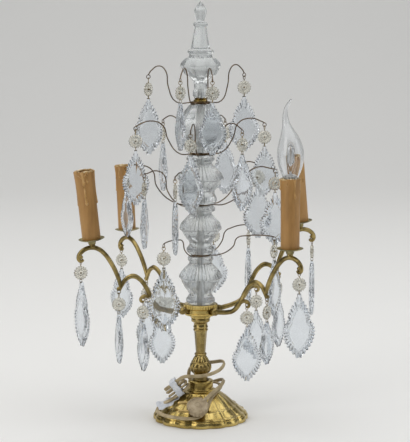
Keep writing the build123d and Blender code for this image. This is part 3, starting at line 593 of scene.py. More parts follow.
def make_shaft():
    """Neck, gadrooned knop, eight-sided shaft, collar and flange."""
    levels = [
        (54.0, 9.0), (54.0, 11.2), (54.8, 11.5), (55.8, 10.6), (57.0, 9.3), (59, 9.0), (61.4, 9.1),
        (62.8, 10.2), (64.0, 10.8), (64.4, 11.6, knop_edge), (65.6, 13.0, knop_edge), (68.4, 14.7, knop_edge),
        (72.0, 15.5, knop_edge), (75.0, 15.1, knop_edge), (77.2, 13.8, knop_edge), (78.0, 12.6), (78.4, 12.4),
        (78.8, 13.0), (79.8, 13.0), (80.2, 12.2), (80.5, 11.8, leaf_edge), (83.4, 10.6, leaf_edge),
        (86.4, 8.6, leaf_edge), (87.6, 7.6), (88.4, 7.2), (89.1, 8.2), (90.4, 8.4), (91.6, 7.6), (92.2, 6.5, octagon),
        (121.6, 8.7, octagon), (122.4, 9.0, octagon), (123.2, 9.9), (124.6, 10.2), (125.6, 9.2),
        (126.4, 9.0), (127.2, 9.9), (128.6, 10.1), (130.6, 9.2), (133.4, 9.3), (134.8, 10.6),
        (135.8, 12.4), (136.6, 12.7), (139.8, 12.7), (140.6, 12.3), (141, 11.5), (141, 6),
    ]
    casting = tower("shaft_casting", 160, levels)
    smooth(casting, 30)
    done(wear(casting, knop_brass), "stand", "brass", "shaft")


def make_hub():
    """Stepped drum with its reeded upper band."""
    levels = [
        (141, 9), (141, 13.6), (141.5, 14.0), (144.4, 14.0), (145.0, 15.0), (145.0, 20.8), (145.4, 21.8),
        (146.2, 22.5), (147.8, 22.5), (148.6, 21.8), (149.0, 20.2), (153.6, 20.0), (154.3, 20.6),
        (154.6, 22.6, reeds), (155.3, 23.3, reeds), (159.6, 23.3, reeds), (160.3, 22.6, reeds),
        (160.5, 21.4), (160.5, 8),
    ]
    drum = tower("hub_drum", 216, levels)
    smooth(drum, 30)
    done(wear(drum, cast_brass), "stand", "brass", "arm_hub")


# ---- glass column ---------------------------------------------------------------------

def make_vase(name, base, profile):
    """One pressed vase: ribbed body between a flared foot and a turned collar."""
    levels = [(base + h, r, fine_ribs if r > 17 and 36 < h < 55 else soft_ribs) for h, r in profile]
    return smooth(tower(name, 240, levels), 24)


def make_column():
    """The three ribbed vases, the faceted globe, the spire and its brass collar."""
    lowest = [
        (0.1, 8), (0.1, 16.8), (1.0, 18.0), (3.2, 19.6), (5.4, 19.9), (7.4, 19.4), (9.6, 17.6), (12.4, 16.0),
        (14.5, 16.2), (18, 18.0), (24, 22.4), (31, 26.0), (34.2, 27.0), (35.2, 27.6), (35.9, 29.2), (37.6, 29.6), (39.6, 28.9),
        (44, 26.6), (50, 21.0), (55.4, 15.8), (57.4, 15.2), (59.0, 16.4), (61, 17.7), (63.2, 17.7),
        (65.2, 16.8), (65.9, 16), (65.9, 8),
    ]
    middle = [
        (0.1, 8), (0.1, 15.8), (1.0, 17.2), (3.4, 19.0), (6.0, 19.3), (8.2, 18.6), (11.0, 16.4), (13.4, 15.4),
        (16, 15.8), (21, 19.4), (28, 24.2), (31.8, 26.2), (32.8, 26.8), (33.5, 28.5), (35.4, 28.9), (37.4, 28.2), (42, 26.4),
        (48, 20.8), (54.2, 15.4), (56.2, 15.2), (57.6, 17.0), (59.2, 19.6), (61.6, 20.1), (63.4, 19.0),
        (65.2, 17.8), (65.9, 17.0), (65.9, 8),
    ]
    upper = [
        (0.1, 8), (0.1, 18.4), (1.2, 20.4), (3.6, 22.0), (7.2, 21.9), (10, 20.6), (14, 18.9), (17, 19.2),
        (21, 22.4), (26.4, 26.8), (30.6, 28.6), (31.6, 29.2), (32.4, 31.2), (34.6, 31.6), (36.8, 30.6), (41.6, 27.6), (48, 20.8),
        (53.4, 15.8), (55.6, 15.4), (57.2, 16.8), (59.4, 19.1), (62.0, 19.3), (64, 17.8), (65.9, 16.4),
        (65.9, 8),
    ]
    vases = [
        make_vase("vase_lowest", 160.5, lowest),
        make_vase("vase_middle", 229.5, middle),
        make_vase("vase_upper", 298.5, upper),
    ]
    done(wear(joined("ribbed_vases", vases), column_glass), "stand", "column_glass", "glass_vases")

    globe_levels = [
        (367.6, 8), (367.6, 11.4), (369.0, 13.6), (371.4, 14.5), (374.0, 13.6), (375.6, 13.3), (378, 16.0),
        (387.4, 26.6), (397.6, 32.2), (399.0, 32.7), (401.4, 32.7), (402.8, 32.0), (413.8, 28.4),
        (424.2, 21.6), (426.6, 19.4), (429.6, 17.0), (431.4, 15.6), (433.4, 13.4), (433.4, 8),
    ]
    globe = tower("faceted_globe", 96, globe_levels, octagon)
    soften(globe, 0.5, 2, 25)
    smooth(globe, 25)
    done(wear(globe, column_glass), "stand", "column_glass", "glass_globe")

    spire_levels = [
        (441.6, 4), (441.6, 8.0), (442.8, 9.6), (444.4, 10.4), (449.8, 10.4), (451.4, 9.6), (453.4, 8.8),
        (456.0, 8.7), (460.0, 9.0, facets), (464.4, 10.6, facets), (467.0, 12.6, facets), (469.2, 14.4, facets),
        (470.0, 15.8, facets), (471.0, 19.6, facets), (473.0, 21.6, facets), (475.6, 22.6, facets),
        (484.2, 26.9, facets), (486.0, 27.1, facets), (487.8, 26.3, facets), (493.0, 22.2, facets),
        (494.6, 20.2, facets), (495.6, 17.0, facets), (497.0, 15.7), (499.8, 15.7), (501.2, 16.8),
        (502.4, 17.8), (504.6, 17.7), (505.8, 16.4), (506.6, 13.6), (507.2, 12.9, facets),
        (535.6, 7.7, facets), (536.4, 8.0), (537.6, 9.2), (538.4, 9.6), (541.0, 9.6), (542.2, 8.2),
        (543.2, 5.8), (544.2, 5.1), (546.0, 5.3, facets), (552.4, 7.6, facets), (557.8, 8.2, facets),
        (560.6, 7.4, facets), (565.6, 4.2, facets), (569.2, 1.4, facets), (570, 0.4),
    ]
    spire = tower("cut_spire", 96, spire_levels)
    smooth(spire, 18)
    done(wear(spire, column_glass), "stand", "column_glass", "glass_spire")

    collar_levels = [
        (436.6, 5), (436.6, 9.3), (438.2, 9.5), (439.0, 8.4), (440.0, 7.6), (440.8, 8.6), (441.4, 9.3), (441.4, 5),
    ]
    collar = tower("spire_collar_brass", 64, collar_levels)
    smooth(collar)
    done(wear(collar, knop_brass), "stand", "brass", "spire_collar")


# ---- wire sprays ----------------------------------------------------------------------

# Each tier of wires: its ring's middle height, then the wire as (reach, height) above it
TIERS = {
    "top": (435.0, [(11, 0), (33, 1), (43.5, 22), (46.7, 42.1), (55, 49), (66, 43), (70, 34.5)]),
    "upper": (366.0, [(11, 0), (30, 1), (46, 20.7), (53, 39.6), (71, 46), (86, 41.5), (91, 36.5)]),
    "middle": (297.0, [(11, 0), (34, 1), (60, 23.4), (65.6, 44.7), (80, 52), (97, 49.5), (101, 46.5)]),
    "lower": (228.0, [(11, 0), (26, 1), (46, 13), (51.6, 25), (66, 29), (98, 30), (104, 26.5)]),
}
EYE_RISE = 2.5


def pivots():
    """Every drop's pivot: node, azimuth, reach and height, from the joints of the frame."""
    found = []
    for joint in frame["joints"]:
        if not joint["name"].endswith("_swing"):
            continue
        x, y, z = (c / MM for c in joint["pos_m"])
        found.append((joint["child"][: -len("_body")], math.degrees(math.atan2(x, -y)), math.hypot(x, y), z))
    return found


def make_sprays():
    """For each tier, a ring plate between the vases and one wire with its eye to each drop."""
    for tier, (middle, line) in TIERS.items():
        plate = tower(
            tier + "_plate", 48,
            [(middle - 1.45, 5), (middle - 1.45, 12.4), (middle - 0.9, 13), (middle + 0.9, 13), (middle + 1.45, 12.4), (middle + 1.45, 5)],
        )
        smooth(plate)
        parts = [plate]
        for node, azimuth, reach, height in pivots():
            if not node.startswith("drop_" + tier + "_"):
                continue
            points = [(x, chance.uniform(-0.4, 0.4) if 20 < x < reach - 12 else 0.0, middle + h) for x, h in line]
            points[-1] = (reach, 0, height + 2 * EYE_RISE)
            wire = drawn_wire("wire", points, 0.78)
            eye = small_ring("eye", EYE_RISE, 0.5)
            put(eye, set_at(reach, 0, height + EYE_RISE) @ turned_by(90, "X"))
            for piece in (wire, eye):
                put(piece, around(azimuth))
                smooth(piece, 60)
                parts.append(piece)
        spray = joined(tier + "_wires", parts)
        done(wear(spray, wire_bronze), "stand", "bronze_wire", tier + "_spray")


# ---- arms and candles -----------------------------------------------------------------

ARMS = (
    ("front_left", -68.4, 2.4, 6.4),
    ("front_right", 47.6, 0.0, 0.0),
    ("rear_right", 111.0, 6.0, -5.5),
    ("rear_left", -140.4, -4.0, 4.0),
)
ARM_ROOT = (28.0, 151.75)
SEAT = (158.0, 241.0)
BOSS_RISE = 5.6


def lifted(points, angle):
    """Points of an arm turned up about its root."""
    c, s = math.cos(math.radians(angle)), math.sin(math.radians(angle))
    x0, z0 = ARM_ROOT
    return [(x0 + (x - x0) * c - (z - z0) * s, 0.0, z0 + (x - x0) * s + (z - z0) * c) for x, z in points]


def candle_place(azimuth, lift, lean):
    """The candle's own frame, standing on the boss of its arm."""
    x, _, z = lifted([SEAT], lift)[0]
    return around(azimuth) @ set_at(x, 0, z) @ turned_by(lean, "Y") @ set_at(0, 0, BOSS_RISE)


def make_arm(name, azimuth, lift, lean):
    """Double-curved arm with tenon, boss, scrolls, beads and eyes for its three drops."""
    inner = [
        (26, 151.75), (36, 152.6), (48, 154.2), (60, 158.2), (72, 171.0), (81, 186.5), (90, 197.0),
        (99.8, 201.2), (109, 198.0), (114.8, 190.6), (119, 183.0),
    ]
    outer = [
        (116.4, 185.5), (118.2, 193.0), (122.0, 203.0), (131.0, 219.5), (142.5, 234.0), (150, 239.2),
        (158, 241.2), (166.6, 239.8), (174.0, 234.8), (177.2, 229.0), (176.0, 224.2),
        (172.6, 223.2), (170.4, 225.4),
    ]
    scroll = [
        (62, 161.5), (67, 166.8), (72.6, 170.8), (79.0, 173.6), (84.6, 173.0), (87.6, 169.8),
        (86.2, 166.4), (82.6, 166.4),
    ]
    parts = [
        drawn_wire("inner run", lifted(inner, lift), 3.1, [1.15, 1.1, 1.05, 1, 1, 1, 1, 1, 0.98, 0.95, 0.9], 6, 4),
        drawn_wire("outer run", lifted(outer, lift), 3.1, [0.8, 0.9] + [1] * 7 + [0.9, 0.8, 0.7, 0.55], 6, 4),
        drawn_wire("inner scroll", lifted(scroll, lift), 2.6, [0.7, 1, 1, 1, 0.95, 0.85, 0.7, 0.5], 6, 4),
        drawn_wire("ridge", lifted([(x, z + 3.0) for x, z in inner[3:9]], lift), 0.8, None, 5, 2),
    ]
    (root_x, _, root_z), = lifted([ARM_ROOT], lift)
    tenon = tower("tenon", 4, [(0, 3.0), (13.2, 3.0), (13.2, 0.3)])
    put(tenon, set_at(15.2, 0, root_z) @ turned_by(90, "Y") @ turned_by(45, "Z"))
    collar = tower("root collar", 40, [(0, 3.2), (0, 4.4), (0.8, 5.2), (2.6, 5.2), (3.4, 4.6), (4.4, 4.9), (5.2, 4.3), (5.2, 3)])
    put(collar, set_at(24.4, 0, root_z) @ turned_by(90, "Y"))
    boss_levels = [(0, 3.0), (0.6, 4.4), (2.0, 4.7), (3.0, 3.9), (4.2, 3.9), (4.9, 4.7), (5.55, 4.7), (5.55, 1)]
    boss = tower("boss", 40, boss_levels)
    x, _, z = lifted([SEAT], lift)[0]
    put(boss, set_at(x, 0, z) @ turned_by(lean, "Y"))
    parts += [tenon, collar, boss]
    for seat_x, seat_z in ((174.0, 222.0), (119.0, 178.0), (84.0, 166.0)):
        x, _, z = lifted([(seat_x, seat_z)], lift)[0]
        bead = small_ball("bead", 3.3)
        put(bead, set_at(x, 0, z + 2 * EYE_RISE + 1.6) @ Matrix.Diagonal((1, 1, 0.85, 1)))
        eye = small_ring("eye", EYE_RISE, 0.55)
        put(eye, set_at(x, 0, z + EYE_RISE) @ turned_by(90, "X"))
        parts += [bead, eye]
    for piece in parts:
        put(piece, around(azimuth))
        smooth(piece, 45)
    arm = joined("arm_" + name + "_casting", parts)
    done(wear(arm, arm_brass), "stand", "arm_brass", "arm_" + name)


PAN_TOP = 4.9
SLEEVE_LOW = 4.9 + 3.2 * 0.45 + 0.3
SLEEVE_HIGH = SLEEVE_LOW + 92
HOLDER_TOP = SLEEVE_HIGH - 18
SLEEVE_RADIUS = 13.0

# Runs of wax on each sleeve: angle in the candle's frame, sweep on the way down, width and length
WAX_RUNS = {
    "front_left": ((60, 8, 3.4, 43), (6, 56, 2.8, 17), (88, -20, 2.6, 16), (156, 2, 2.8, 44), (-22, 2, 2.4, 46), (92, -5, 2.2, 15), (-80, 3, 2.6, 26), (190, 4, 2.4, 34)),
    "front_right": ((-24, 2, 3.2, 25), (-134, 2, 3.2, 14), (20, 3, 2.8, 18), (-74, 4, 2.2, 9), (110, -4, 2.6, 30), (180, 3, 2.4, 20)),
    "rear_right": ((-140, 3, 2.6, 26), (-70, 4, 2.8, 36), (-100, 0, 2.2, 14), (30, -4, 2.4, 22), (120, 2, 2.6, 30)),
    "rear_left": ((70, 3, 2.8, 36), (110, -4, 2.4, 20), (150, 2, 2.2, 12), (210, 3, 2.6, 30), (-60, 2, 2.4, 24)),
}


def make_pan(place, name):
    """Shallow dish on a ring nut, with a rolled rim."""
    nut = tower("nut", 48, [(0, 3), (0, 4.6, octagon), (0.5, 5.3, octagon), (3.2, 5.3, octagon), (3.7, 4.8), (3.7, 3)])
    smooth(nut, 25)
    dish = tower(
        "dish", 96,
        [
            (3.1, 3), (3.2, 6.8), (3.8, 8.6), (4.4, 11.6), (5.3, 14.6), (6.4, 16.9), (6.8, 17.4), (7.2, 17.4),
            (7.3, 17.0), (7.0, 16.5), (6.2, 15.2), (5.5, 12.6), (5.1, 10.0), (4.9, 7.4), (4.88, 3),
        ],
    )
    smooth(dish, 40)
    for piece in (nut, dish):
        put(piece, place)
    return [nut, dish]


def make_holder(place):
    """Lampholder: foot, stem and cup with its dark socket."""
    top = HOLDER_TOP
    cup = top - 30
    levels = [
        (PAN_TOP, 3), (PAN_TOP, 6.8), (PAN_TOP + 2.3, 6.8), (PAN_TOP + 3.8, 6.2), (cup - 4, 6.2),
        (cup, 10.2), (top - 6, 10.2), (top - 5.4, 9.6), (top - 4.6, 10.2), (top - 0.6, 10.2), (top, 9.7),
        (top, 7.4), (top - 0.6, 7.1), (top - 21.8, 7.1), (top - 21.8, 0.4),
    ]
    holder = tower("holder", 64, levels)
    smooth(holder, 35)
    return put(holder, place)


def make_sleeve(name, place):
    """Card sleeve coated in wax, open at both ends, with a dripped rim and runs of wax."""
    lean_in = 0.12
    shell_levels = [(SLEEVE_LOW + h, SLEEVE_RADIUS - r) for h, r in ((0, 0.75), (0.6, 0.65), (30, 0.6), (52, 0.5), (68, 0.3), (84, 0.15), (91.4, 0.1), (92, lean_in))]
    shell = tower("sleeve", 72, shell_levels)
    take(shell)
    bpy.ops.object.mode_set(mode="EDIT")
    bpy.ops.mesh.select_mode(type="FACE")
    bpy.ops.mesh.select_all(action="DESELECT")
    bpy.ops.object.mode_set(mode="OBJECT")
    for face in shell.data.polygons:
        face.select = len(face.vertices) > 4
    bpy.ops.object.mode_set(mode="EDIT")
    bpy.ops.mesh.delete(type="FACE")
    bpy.ops.object.mode_set(mode="OBJECT")
    wall = shell.modifiers.new("card wall", "SOLIDIFY")
    wall.thickness = 1.25 * MM
    wall.offset = -1
    bpy.ops.object.modifier_apply(modifier=wall.name)
    smooth(shell, 40)
    parts = [shell]
    out = SLEEVE_RADIUS - 0.3
    rim = []
    for n in range(30):
        a = 2 * math.pi * n / 30
        reach = out - 0.5 - 0.6 * max(0, math.cos(a)) + chance.uniform(-0.25, 0.2)
        rim.append((reach * math.cos(a), reach * math.sin(a), SLEEVE_HIGH - 0.7 + chance.uniform(-0.7, 0.35)))
    rim.append(rim[0])
    parts.append(drawn_wire("rim wax, painted highlight", rim, 1.2, [chance.uniform(0.65, 1.15) for _ in rim], 4, 3))
    rim_wax = parts[-1]
    for angle, sweep, width, length in WAX_RUNS[name]:
        points = []
        for step in range(8):
            t = step / 7
            a = math.radians(angle + sweep * min(1, 1.8 * t) + 2.0 * math.sin(7 * t))
            reach = out - 0.7 * max(0, math.cos(a)) ** 2 - 0.3 * t
            points.append((reach * math.cos(a), reach * math.sin(a), SLEEVE_HIGH - 0.8 - (length - 2.0) * t))
        taper = [1.5, 1.15, 0.85, 0.72, 0.68, 0.74, 0.95, 1.2]
        parts.append(drawn_wire("wax run", points, width * 0.48, taper, 5, 4))
        bead = small_ball("wax bead", width * 0.66, 16, 10)
        put(bead, set_at(*points[-1]) @ Matrix.Diagonal((0.95, 0.95, 1.4, 1)))
        parts.append(bead)
    crumbs = []
    if name == "front_right":
        for angle, size in ((-48, 1.5), (-30, 1.1), (-66, 1.0), (-12, 1.3), (-100, 0.9), (10, 0.8), (60, 1.2), (150, 1.0)):
            a = math.radians(angle)
            crumb = small_ball("crumb", size, 12, 8)
            put(crumb, set_at((out - 1.2) * math.cos(a), (out - 1.2) * math.sin(a), SLEEVE_HIGH + 0.1))
            crumbs.append(crumb)
    parts += crumbs
    for piece in parts:
        put(piece, place)
        smooth(piece, 50)
        # The rim bead takes the pale wax with its painted highlight; the shell and runs take their own wax.
        wear(piece, pale_wax if piece in crumbs else rim_wax_with_highlight if piece is rim_wax else sleeve_wax if piece is shell else run_wax)
    sleeve = joined("sleeve_" + name, parts)
    body = "stand" if name == "front_right" else "candle_" + name + "_sleeve"
    done(sleeve, body, "wax", "candle_" + name)


def make_bulb(place):
    """Flame bulb with a bent tip, its stem and filament, and its cap."""
    base = HOLDER_TOP - 22 + 2
    glass_low = base + 20
    tall, wide = 121.0, 17.5
    line = [
        (0.0, 0.36, 0), (0.03, 0.4, 0), (0.06, 0.44, 0), (0.11, 0.51, 0), (0.16, 0.6, 0), (0.22, 0.76, 0),
        (0.28, 0.9, 0), (0.335, 0.975, 0), (0.39, 1.0, 0), (0.44, 0.985, -0.01), (0.49, 0.93, -0.03),
        (0.545, 0.82, -0.07), (0.60, 0.68, -0.12), (0.65, 0.52, -0.23), (0.70, 0.37, -0.36),
        (0.745, 0.275, -0.46), (0.79, 0.225, -0.52), (0.83, 0.195, -0.54), (0.87, 0.17, -0.52),
        (0.905, 0.15, -0.44), (0.94, 0.13, -0.30), (0.97, 0.11, -0.13), (0.99, 0.085, -0.02), (0.998, 0.04, 0.03),
    ]
    levels = [(glass_low + h * tall, w * wide) for h, w, _ in line]
    envelope = tower("envelope", 64, levels)
    for corner in envelope.data.vertices:
        h = (corner.co.z / MM - glass_low) / tall
        for (h0, _, s0), (h1, _, s1) in zip(line, line[1:]):
            if h0 - 1e-6 <= h <= h1 + 1e-6:
                corner.co.x += (s0 + (s1 - s0) * (h - h0) / (h1 - h0)) * wide * MM
                break
    take(envelope)
    wall = envelope.modifiers.new("glass wall", "SOLIDIFY")
    wall.thickness = 0.5 * MM
    wall.offset = -1
    bpy.ops.object.modifier_apply(modifier=wall.name)
    smooth(envelope, 70)
    put(envelope, place)
    done(wear(envelope, envelope_glass), "bulb", "bulb_glass", "bulb_glass")

    low = glass_low
    foot_levels = [
        (low + 0.5, 5.4), (low + 6, 5.0), (low + 9, 4.0), (low + 12, 2.6), (low + 22, 1.7), (low + 26, 1.9),
        (low + 27, 1.2), (low + 27.4, 0.3),
    ]
    stem = tower("stem", 32, foot_levels)
    capsule_levels = [
        (low + 34, 0.8), (low + 35, 2.2), (low + 37, 2.8), (low + 38.4, 3.9), (low + 40.6, 4.6), (low + 56, 4.6),
        (low + 58.6, 3.9), (low + 60.4, 2.4), (low + 61.6, 1.0), (low + 63, 0.7), (low + 63.4, 0.2),
    ]
    capsule = tower("capsule", 32, capsule_levels)
    cement = tower("cement", 48, [(low + 13, 1), (low + 13, 7.2), (low + 18, 8.3), (low + 21, 8.3), (low + 22.6, 7.4), (low + 23.2, 5.6), (low + 23.2, 1)])
    insides = [stem, capsule, cement]
    for piece in insides:
        smooth(piece, 60)
        put(piece, place)
        wear(piece, lamp_ceramic if piece is cement else capsule_glass)
    done(joined("bulb_insides", insides), "bulb", "bulb_glass", "bulb_glass")
    wires = []
    for side in (-1, 1):
        lead = [
            (side * 0.9, 0, low + 25), (side * 3.6, 0, low + 31), (side * 5.9, 0, low + 40),
            (side * 5.7, 0, low + 58), (side * 2.2, 0, low + 64), (0, 0, low + 64.4),
        ]
        wires.append(drawn_wire("lead", lead, 0.36, None, 5, 2))
    coil = [
        (0.9 * math.cos(t * 1.3), 0.9 * math.sin(t * 1.3), low + 39 + 17 * t / 60) for t in range(61)
    ]
    wires.append(drawn_wire("coil", coil, 0.26, None, 3, 2))
    leads = joined("filament", wires)
    put(leads, place)
    smooth(leads, 60)
    done(wear(leads, filament_metal), "bulb", "bulb_cap")

    cap_levels = [(base - 1, 1), (base - 1, 3.2), (base - 0.2, 3.6), (base + 0.2, 3.6), (base + 2.0, 6.2)]
    for turn in range(7):
        cap_levels += [(base + 2.6 + turn * 2.2, 6.75), (base + 3.7 + turn * 2.2, 6.3)]
    cap_levels += [(base + 18.4, 6.6), (base + 19.8, 6.6), (base + 19.8, 2)]
    cap = tower("cap", 48, cap_levels)
    put(cap, place)
    smooth(cap, 40)
    done(wear(cap, cap_metal), "bulb", "bulb_cap", "bulb_cap")


def make_arms_and_candles():
    """Four arms, each with its pan, lampholder and sleeve, and the one bulb."""
    pans, holders = [], []
    for name, azimuth, lift, lean in ARMS:
        make_arm(name, azimuth, lift, lean)
        place = candle_place(azimuth, lift, lean)
        pans += make_pan(place, name)
        holders.append(make_holder(place))
        make_sleeve(name, place)
        if name == "front_right":
            make_bulb(place)
    done(wear(joined("drip_pans_brass", pans), pan_brass), "stand", "dull_brass", "drip_pans")
    done(wear(joined("lampholders_plastic", holders), holder_plastic), "stand", "holder_plastic", "lampholders")


# ---- glass drops ----------------------------------------------------------------------

# Half outline of a pendant, top to tip, as (share of the height, share of the width)
LEAF = (
    (0, 0.10), (0.05, 0.15), (0.10, 0.25), (0.16, 0.41), (0.22, 0.54), (0.28, 0.64), (0.32, 0.69),
    (0.355, 0.69), (0.385, 0.70), (0.415, 0.77), (0.46, 0.90), (0.52, 0.98), (0.58, 1.0),
    (0.65, 0.97), (0.72, 0.89), (0.79, 0.75), (0.86, 0.56), (0.92, 0.35), (0.97, 0.16), (1, 0.03),
)
LEAF_MIDDLE = 0.55


def leaf_width(share):
    """Width of the pendant at that share of its height."""
    for (t0, w0), (t1, w1) in zip(LEAF, LEAF[1:]):
        if share <= t1:
            return w0 + (w1 - w0) * (share - t0) / (t1 - t0)
    return LEAF[-1][1]


def leaf_points(size, bite, teeth=18):
    """The outline of a pendant 100 mm wide and tall, drawn in to the size, with teeth bitten out."""
    side = []
    for n in range(2 * teeth):
        share = n / (2 * teeth - 1)
        scale = size * (1 - bite if n % 2 else 1) * 100
        side.append((leaf_width(share) / 2 * scale, (LEAF_MIDDLE - share) * scale))
    return side + [(-x, y) for x, y in reversed(side)]


def make_pendant():
    """The pattern for every pendant, 100 mm wide and tall, with a fluted bevel round a clear panel."""
    flutes = {2.3: (leaf_points(0.95, 0.09), 0.5), 3.3: (leaf_points(0.79, 0.07), 0.8)}
    pendant = plaque("pendant pattern", [
        (0, leaf_points(1.0, 0.085)), (1.0, leaf_points(1.0, 0.085)), (2.3, flutes[2.3][0]),
        (3.3, flutes[3.3][0]), (3.7, leaf_points(0.68, 0.0)), (3.15, leaf_points(0.64, 0.0)),
        (3.3, leaf_points(0.58, 0.0)),
    ])
    for corner in pendant.data.vertices:
        x, y, height = corner.co.x / MM, corner.co.y / MM, abs(corner.co.z) / MM
        for level, (ring, low) in flutes.items():
            if abs(height - level) < 0.01:
                n = min(range(len(ring)), key=lambda k: (ring[k][0] - x) ** 2 + (ring[k][1] - y) ** 2)
                near = math.hypot(ring[n][0] - x, ring[n][1] - y) < 0.01
                if near and min(n, len(ring) - 1 - n) % 2:
                    corner.co.z *= low
    return pendant


def rosette_points(radius, bite, petals=16):
    """The outline of a daisy of petals."""
    points = []
    for n in range(petals * 4):
        a = 2 * math.pi * n / (petals * 4)
        r = radius * (1 - bite * (1, 0.25, 0, 0.25)[n % 4])
        points.append((r * math.cos(a), r * math.sin(a)))
    return points


def make_rosette():
    """The pattern for every rosette: a cut daisy with a domed middle."""
    rosette = plaque("rosette pattern", [
        (0, rosette_points(9.6, 0.14)), (0.6, rosette_points(9.6, 0.14)), (1.9, rosette_points(8.6, 0.16)),
        (2.4, rosette_points(6.6, 0.14)), (1.5, rosette_points(3.8, 0)), (2.3, rosette_points(3.1, 0)),
        (2.5, rosette_points(2.0, 0)),
    ])
    for corner in rosette.data.vertices:
        a = math.atan2(corner.co.y, corner.co.x)
        r = math.hypot(corner.co.x, corner.co.y) / MM
        if 4.4 < r < 9.0 and abs(corner.co.z) > 1.2 * MM:
            corner.co.z *= 1 - 0.6 * (1 - abs(math.sin(8 * a))) ** 1.4
    return rosette


LINK_RING = 2.5
RING_FALL = 1.1
BUTTON_TOP = 4.9
BUTTON_RADIUS = 9.6
PIN_GAP = 2.2


def leaf_of(node):
    """Width, thickness line and drop of the node's pendant, read from the frame's own mesh."""
    mesh = frame["nodes"][node]
    _, azimuth, reach, height = next(p for p in pivots() if p[0] == node)
    top = height - BUTTON_TOP - 2 * BUTTON_RADIUS - PIN_GAP
    corners = [mesh.matrix_world @ v.co / MM for v in mesh.data.vertices]
    leaf = [c for c in corners if c.z < top + 0.05]
    low = min(c.z for c in leaf)
    best = None
    for step in range(360):
        a = math.radians(step / 2)
        across = Vector((-math.sin(a), math.cos(a)))
        reach_out = [c.xy.dot(across) for c in leaf]
        thick = max(reach_out) - min(reach_out)
        if best is None or thick < best[0]:
            best = (thick, step / 2)
    a = math.radians(best[1])
    along, across = Vector((math.cos(a), math.sin(a))), Vector((-math.sin(a), math.cos(a)))
    spread = [c.xy.dot(along) for c in leaf]
    depth = [c.xy.dot(across) for c in leaf]
    middle = along * (max(spread) + min(spread)) / 2 + across * (max(depth) + min(depth)) / 2
    return azimuth, reach, height, top, low, max(spread) - min(spread), best[1], middle


# Rosettes that hang turned away from their pendant: heading of the disc, 0 facing the front
ROSETTE_TURNS = {
    "drop_front_left_end": 20, "drop_front_left_tip": 12, "drop_front_left_scroll": -22,
    "drop_top_left": 58, "drop_top_front_left": 48,
}


def make_drops():
    """Every drop: loop, rosette, link and pendant, hung from its eye and free to swing."""
    pendant, rosette = make_pendant(), make_rosette()
    for node, *_ in pivots():
        azimuth, reach, height, top, low, width, heading, middle = leaf_of(node)
        body = node + "_body"
        tall = top - low
        face = turned_by(heading, "Z")
        spot = around(azimuth) @ set_at(reach, 0, 0)
        x, y = (spot.to_translation() / MM).xy
        slack = chance.uniform(-1.5, 1.5)
        leaf = twin(pendant, "leaf")
        share = 0.93 if node == "drop_top_front_left" else 0.975
        shape = Matrix.Diagonal((share * width / 100, tall / 100, 0.95, 1))
        put(leaf, set_at(middle.x, middle.y, top - 0.55 * tall) @ face @ turned_by(90, "X") @ shape)
        for axis in (0, 1):
            ends = [c.co[axis] for c in leaf.data.vertices]
            nudge = max(0, cad_box[0][axis] - min(ends)) - max(0, max(ends) - cad_box[1][axis])
            for corner in leaf.data.vertices:
                corner.co[axis] += nudge
        smooth(leaf, 14)
        wear(leaf, pendant_glass)
        flat = turned_by(ROSETTE_TURNS.get(node, heading), "Z")
        button = twin(rosette, "rosette")
        put(button, set_at(x, y, height - BUTTON_TOP - BUTTON_RADIUS) @ flat @ turned_by(90, "X") @ turned_by(slack * 8, "Z"))
        smooth(button, 12)
        wear(button, rosette_glass)
        glass = joined(node + "_glass", [leaf, button])
        done(glass, body, "drop_glass", node)

        loop = small_ring("loop", LINK_RING, 0.45)
        put(loop, set_at(x, y, height - RING_FALL) @ around(azimuth) @ turned_by(90, "Y"))
        shank_low = height - BUTTON_TOP - 1.0
        shank = drawn_wire("shank", [(x, y, height - RING_FALL - LINK_RING), (x, y, shank_low)], 0.6, None, 2, 2)
        link = small_ring("link", 2.1, 0.4)
        centre = top + PIN_GAP / 2
        put(link, set_at(x, y, centre) @ turned_by(heading, "Z") @ turned_by(90, "Y") @ Matrix.Diagonal((1.25, 0.8, 1, 1)))
        pin = small_ball("pin", 1.1, 12, 8)
        put(pin, set_at(x, y, height - BUTTON_TOP - BUTTON_RADIUS) @ flat @ Matrix.Diagonal((1, 2.7, 1, 1)))
        links = joined(node + "_links", [loop, shank, link, pin])
        smooth(links, 60)
        done(wear(links, link_brass), body, "bronze_wire")
    for pattern in (pendant, rosette):
        bpy.data.objects.remove(pattern, do_unlink=True)


# ---- rod ------------------------------------------------------------------------------

def dress_rod():
    """The through rod and the pad under the foot keep their CAD shapes."""
    for node, finish in (("tie_rod", steel), ("foot_pad", pad_felt)):
        if node in frame["nodes"]:
            wear(frame["nodes"][node], finish)


# ---- flex, hank, tie and plug ---------------------------------------------------------

HANK_CENTRE = Vector((-32.5, -15.0, 46.5))
HANK_ALONG = Vector((-0.8, 0.0, -0.6))
HANK_SIDE = Vector((0, -1, 0))
HANK_OUT = Vector((-0.6, 0.0, 0.8))
PLUG_CENTRE = Vector((-4.0, -54.0, 28.5))
PLUG_TILT = 36
PLUG_LEAD = 52


def plug_place():
    """The plug's own frame, its Z square to the disc."""
    return set_at(*PLUG_CENTRE) @ turned_by(PLUG_TILT, "X")


